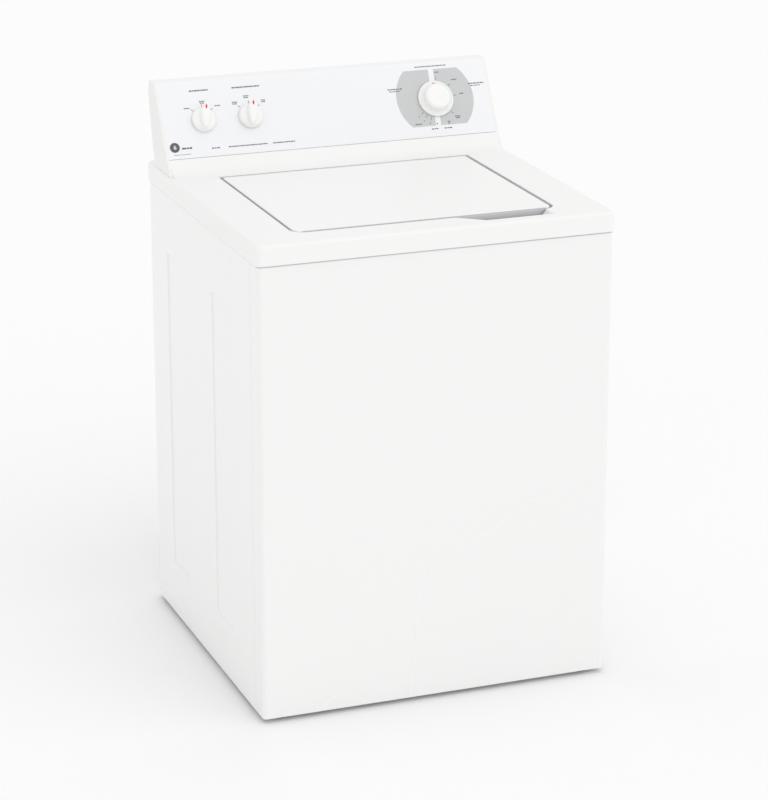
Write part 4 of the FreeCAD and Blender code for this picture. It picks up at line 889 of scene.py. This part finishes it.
class WASHER_OT_wash_basket(bpy.types.Operator):
    """Wash basket: enamelled sheet with a round bottom corner and columns of drain holes"""
    bl_idname = "washer.wash_basket"
    bl_label = "Wash basket"

    def execute(self, context):
        tub = context.scene.washer_tub
        low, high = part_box("wash_basket")
        radius, bottom, top = high.x / MM, low.z / MM, high.z / MM
        corner = 22
        hub = 20.5
        wall = bottom + corner
        pitch = (top - wall) / tub.rows
        profile = [(hub, bottom), (60, bottom), (120, bottom), (190, bottom)]
        profile += rounded_corner(radius, bottom, corner)
        profile += [(radius, wall + pitch * row) for row in range(1, tub.rows + 1)]
        basket = turned("perforated_basket", profile, tub.columns, closed=True)
        # the profile never comes back to its start, so the sheet stays open at its hub and rim
        step = 2 * math.pi / tub.columns
        cell = radius * MM * step

        def holed(face):
            place = middle(face)
            column = int((math.atan2(place.y, place.x) % (2 * math.pi)) / step)
            return (wall + pitch < place.z / MM < top - pitch and column % tub.blank)

        with Editing(basket) as edit:
            edit.pick("FACE", holed)
            bpy.ops.mesh.inset(thickness=(cell - tub.hole) / 2, depth=0, use_individual=True)
            bpy.ops.mesh.delete(type="FACE")
            edit.pick("VERT", lambda vertex: vertex.is_boundary and wall + 1 < vertex.co.z / MM < top - 1)
            bpy.ops.mesh.bevel(offset=tub.hole * 0.29, affect="VERTICES")
        modifier(basket, "SOLIDIFY", thickness=tub.sheet, offset=-1)
        done(basket, "basket", "basket_enamel", replaces=("wash_basket",))
        return {"FINISHED"}


class WASHER_OT_balance_ring(bpy.types.Operator):
    """Balance ring with rounded lips and shallow ribs on its inner face"""
    bl_idname = "washer.balance_ring"
    bl_label = "Balance ring"

    def execute(self, context):
        low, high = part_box("balance_ring")
        outer = high.x / MM
        inner = outer - 35
        bottom, top = low.z / MM, high.z / MM
        profile = [(outer, bottom), (outer, top - 8), (outer - 1.4, top - 3.4), (outer - 5, top - 0.6),
                   (outer - 9, top), (inner + 12, top), (inner + 5, top - 1.4), (inner + 1.2, top - 5.4),
                   (inner, top - 10), (inner, bottom + 9), (inner + 2.6, bottom + 2.4), (inner + 8, bottom),
                   (outer, bottom)]
        ring = turned("balance_ring_moulding", profile, 120, closed=True)

        def inner_rib(face):
            place = middle(face)
            column = int((math.atan2(place.y, place.x) % (2 * math.pi)) / (2 * math.pi / 120))
            return place.xy.length / MM < inner + 0.6 and face.calc_area() > 3e-5 and column % 10 < 8

        with Editing(ring) as edit:
            edit.pick("FACE", inner_rib)
            bpy.ops.mesh.inset(thickness=0.0022, depth=-0.0016)
        done(ring, "basket", "ring_plastic", replaces=("balance_ring",))
        return {"FINISHED"}


def upright(piece):
    """Stands a plate drawn as (radius, height) up in the XZ plane, its thickness about the plane."""
    piece.matrix_world = Matrix.Rotation(math.pi / 2, 4, "X")
    settle(piece)
    return piece


class WASHER_OT_agitator(bpy.types.Operator):
    """Agitator: a swept skirt and post with tall vanes below and short fins above"""
    bl_idname = "washer.agitator"
    bl_label = "Agitator"

    def execute(self, context):
        vanes = context.scene.washer_tub.vanes
        low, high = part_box("agitator")
        skirt, bottom, top = high.x / MM, low.z / MM, high.z / MM
        waist, neck, shoulder = 58, 40, bottom + 102
        steps = 14
        profile = [(skirt - 4, bottom), (skirt, bottom + 1.5)]
        for step in range(1, steps + 1):
            share = step / steps
            profile.append((waist + (skirt - waist) * (1 - share) ** 1.6, bottom + 3 + 99 * share ** 2))
        for step in range(1, 9):
            share = step / 8
            radius = waist - (waist - neck) * math.sin(share * math.pi / 2)
            profile.append((radius, shoulder + (top - shoulder) * share))
        post = turned("agitator_moulding", profile, 96)
        vane = plate("vane", [(48, bottom + 4), (148, bottom + 4), (150, bottom + 10), (146, bottom + 22),
                              (134, bottom + 42), (116, bottom + 66), (96, bottom + 92), (78, bottom + 116),
                              (64, bottom + 142), (54, bottom + 166), (46, bottom + 176), (40, bottom + 176)],
                     -3.4, 3.4)
        modifier(vane, "BEVEL", width=0.0022, segments=3, limit_method="ANGLE", angle_limit=math.radians(50))
        fin = plate("fin", [(34, top - 170), (46, top - 166), (54, top - 150), (55, top - 40), (50, top - 14),
                            (34, top - 8)], -2.6, 2.6)
        modifier(fin, "BEVEL", width=0.0018, segments=3, limit_method="ANGLE", angle_limit=math.radians(50))
        ribs = joined("ribs", [spun(upright(vane), vanes), spun(upright(fin), vanes, 180 / vanes)])
        welded(post, ribs)
        done(post, "agitator", "agitator_plastic", replaces=("agitator",), angle=40)
        cap_low, cap_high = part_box("agitator_cap")
        rim, foot, crown = cap_high.x / MM, cap_low.z / MM, cap_high.z / MM
        dome = [(rim - 2, foot), (rim, foot + 1.6), (rim, foot + 6), (rim - 1.8, foot + 9), (rim - 5, foot + 16),
                (rim - 7.6, foot + 24), (rim - 11, foot + 31), (rim - 17, foot + 35.6), (rim - 24, crown - 0.8),
                (rim - 31, crown), (8, crown - 1.6), (1, crown - 2)]
        cap = turned("agitator_cap_moulding", dome, 72)
        done(cap, "agitator", "agitator_plastic", replaces=("agitator_cap",))
        return {"FINISHED"}


# ------------------------------------------------------------------ lid

class WASHER_OT_lid_pan(bpy.types.Operator):
    """Inner pan of the lid, with a pressed field and the strike that works the lid switch"""
    bl_idname = "washer.lid_pan"
    bl_label = "Lid pan"

    def execute(self, context):
        low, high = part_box("lid_inner_panel")
        sheet = 0.0012
        base = high.z - sheet
        corner = 0.0208
        back = 0.0038
        deselect()
        centre = (low + high) / 2
        bpy.ops.mesh.primitive_plane_add(size=1, location=(centre.x, centre.y, base))
        pan = context.object
        pan.name = "lid_pan"
        pan.scale = (high.x - low.x, high.y - low.y, 1)
        settle(pan)
        with Editing(pan) as edit:
            edit.pick("VERT", lambda vertex: vertex.co.y < 0)
            bpy.ops.mesh.bevel(offset=corner, segments=6, affect="VERTICES")
            edit.pick("VERT", lambda vertex: vertex.co.y > high.y - 0.001)
            bpy.ops.mesh.bevel(offset=back, segments=3, affect="VERTICES")
            edit.every("FACE")
            bpy.ops.mesh.inset(thickness=0.003, depth=0)
            level, span = base, high.xy - low.xy - Vector((0.006, 0.006))
            for inward, rise in ((0.028, 0), (0.004, 0.003), (0.003, 0.001), (0.05, 0), (0.003, -0.002), (0.02, 0)):
                bpy.ops.mesh.extrude_region_move(TRANSFORM_OT_translate={"value": (0, 0, rise)})
                level += rise
                bpy.ops.transform.resize(value=(1 - 2 * inward / span.x, 1 - 2 * inward / span.y, 1),
                                         center_override=(centre.x, centre.y, level))
                span -= Vector((2 * inward, 2 * inward))
        outward(pan)
        modifier(pan, "SOLIDIFY", thickness=sheet, offset=1)
        strike_x = JOINT_PLACES["lid_switch_tilt"].x
        strike_y = JOINT_PLACES["lid_switch_tilt"].y + 0.048
        half = 0.004
        strike = block("strike", (strike_x - half, strike_y - half, low.z), (strike_x + half, strike_y + half, base),
                       0.001)
        done(joined("lid_pan", [pan, strike]), "lid", "pan_enamel", replaces=("lid_inner_panel",))
        return {"FINISHED"}


# ------------------------------------------------------------------ add-on

CLASSES = [WasherFinish, WasherConsole, WasherTub, WasherStage, WASHER_OT_stage, WASHER_OT_finishes,
           WASHER_OT_dial_field, WASHER_OT_console_marks, WASHER_OT_badge, WASHER_OT_timer_knob,
           WASHER_OT_pointer_knobs, WASHER_OT_wash_basket, WASHER_OT_balance_ring, WASHER_OT_agitator,
           WASHER_OT_lid_pan]
OPERATORS = [item.bl_idname.split(".")[1] for item in CLASSES if issubclass(item, bpy.types.Operator)]


class WASHER_PT_panel(bpy.types.Panel):
    bl_idname = "WASHER_PT_panel"
    bl_label = "Top Load Washer"
    bl_space_type = "VIEW_3D"
    bl_region_type = "UI"
    bl_category = "Washer"

    def draw(self, context):
        for name in OPERATORS:
            self.layout.operator("washer." + name)


def register():
    for item in CLASSES + [WASHER_PT_panel]:
        bpy.utils.register_class(item)
    bpy.types.Scene.washer_finish = PointerProperty(type=WasherFinish)
    bpy.types.Scene.washer_console = PointerProperty(type=WasherConsole)
    bpy.types.Scene.washer_tub = PointerProperty(type=WasherTub)
    bpy.types.Scene.washer_stage = PointerProperty(type=WasherStage)


def unregister():
    for name in ("washer_finish", "washer_console", "washer_tub", "washer_stage"):
        delattr(bpy.types.Scene, name)
    for item in reversed(CLASSES + [WASHER_PT_panel]):
        bpy.utils.unregister_class(item)


def main():
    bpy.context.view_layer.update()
    register()
    for name in OPERATORS:
        getattr(bpy.ops.washer, name)()
    bpy.context.view_layer.update()


if __name__ == "__main__":
    main()
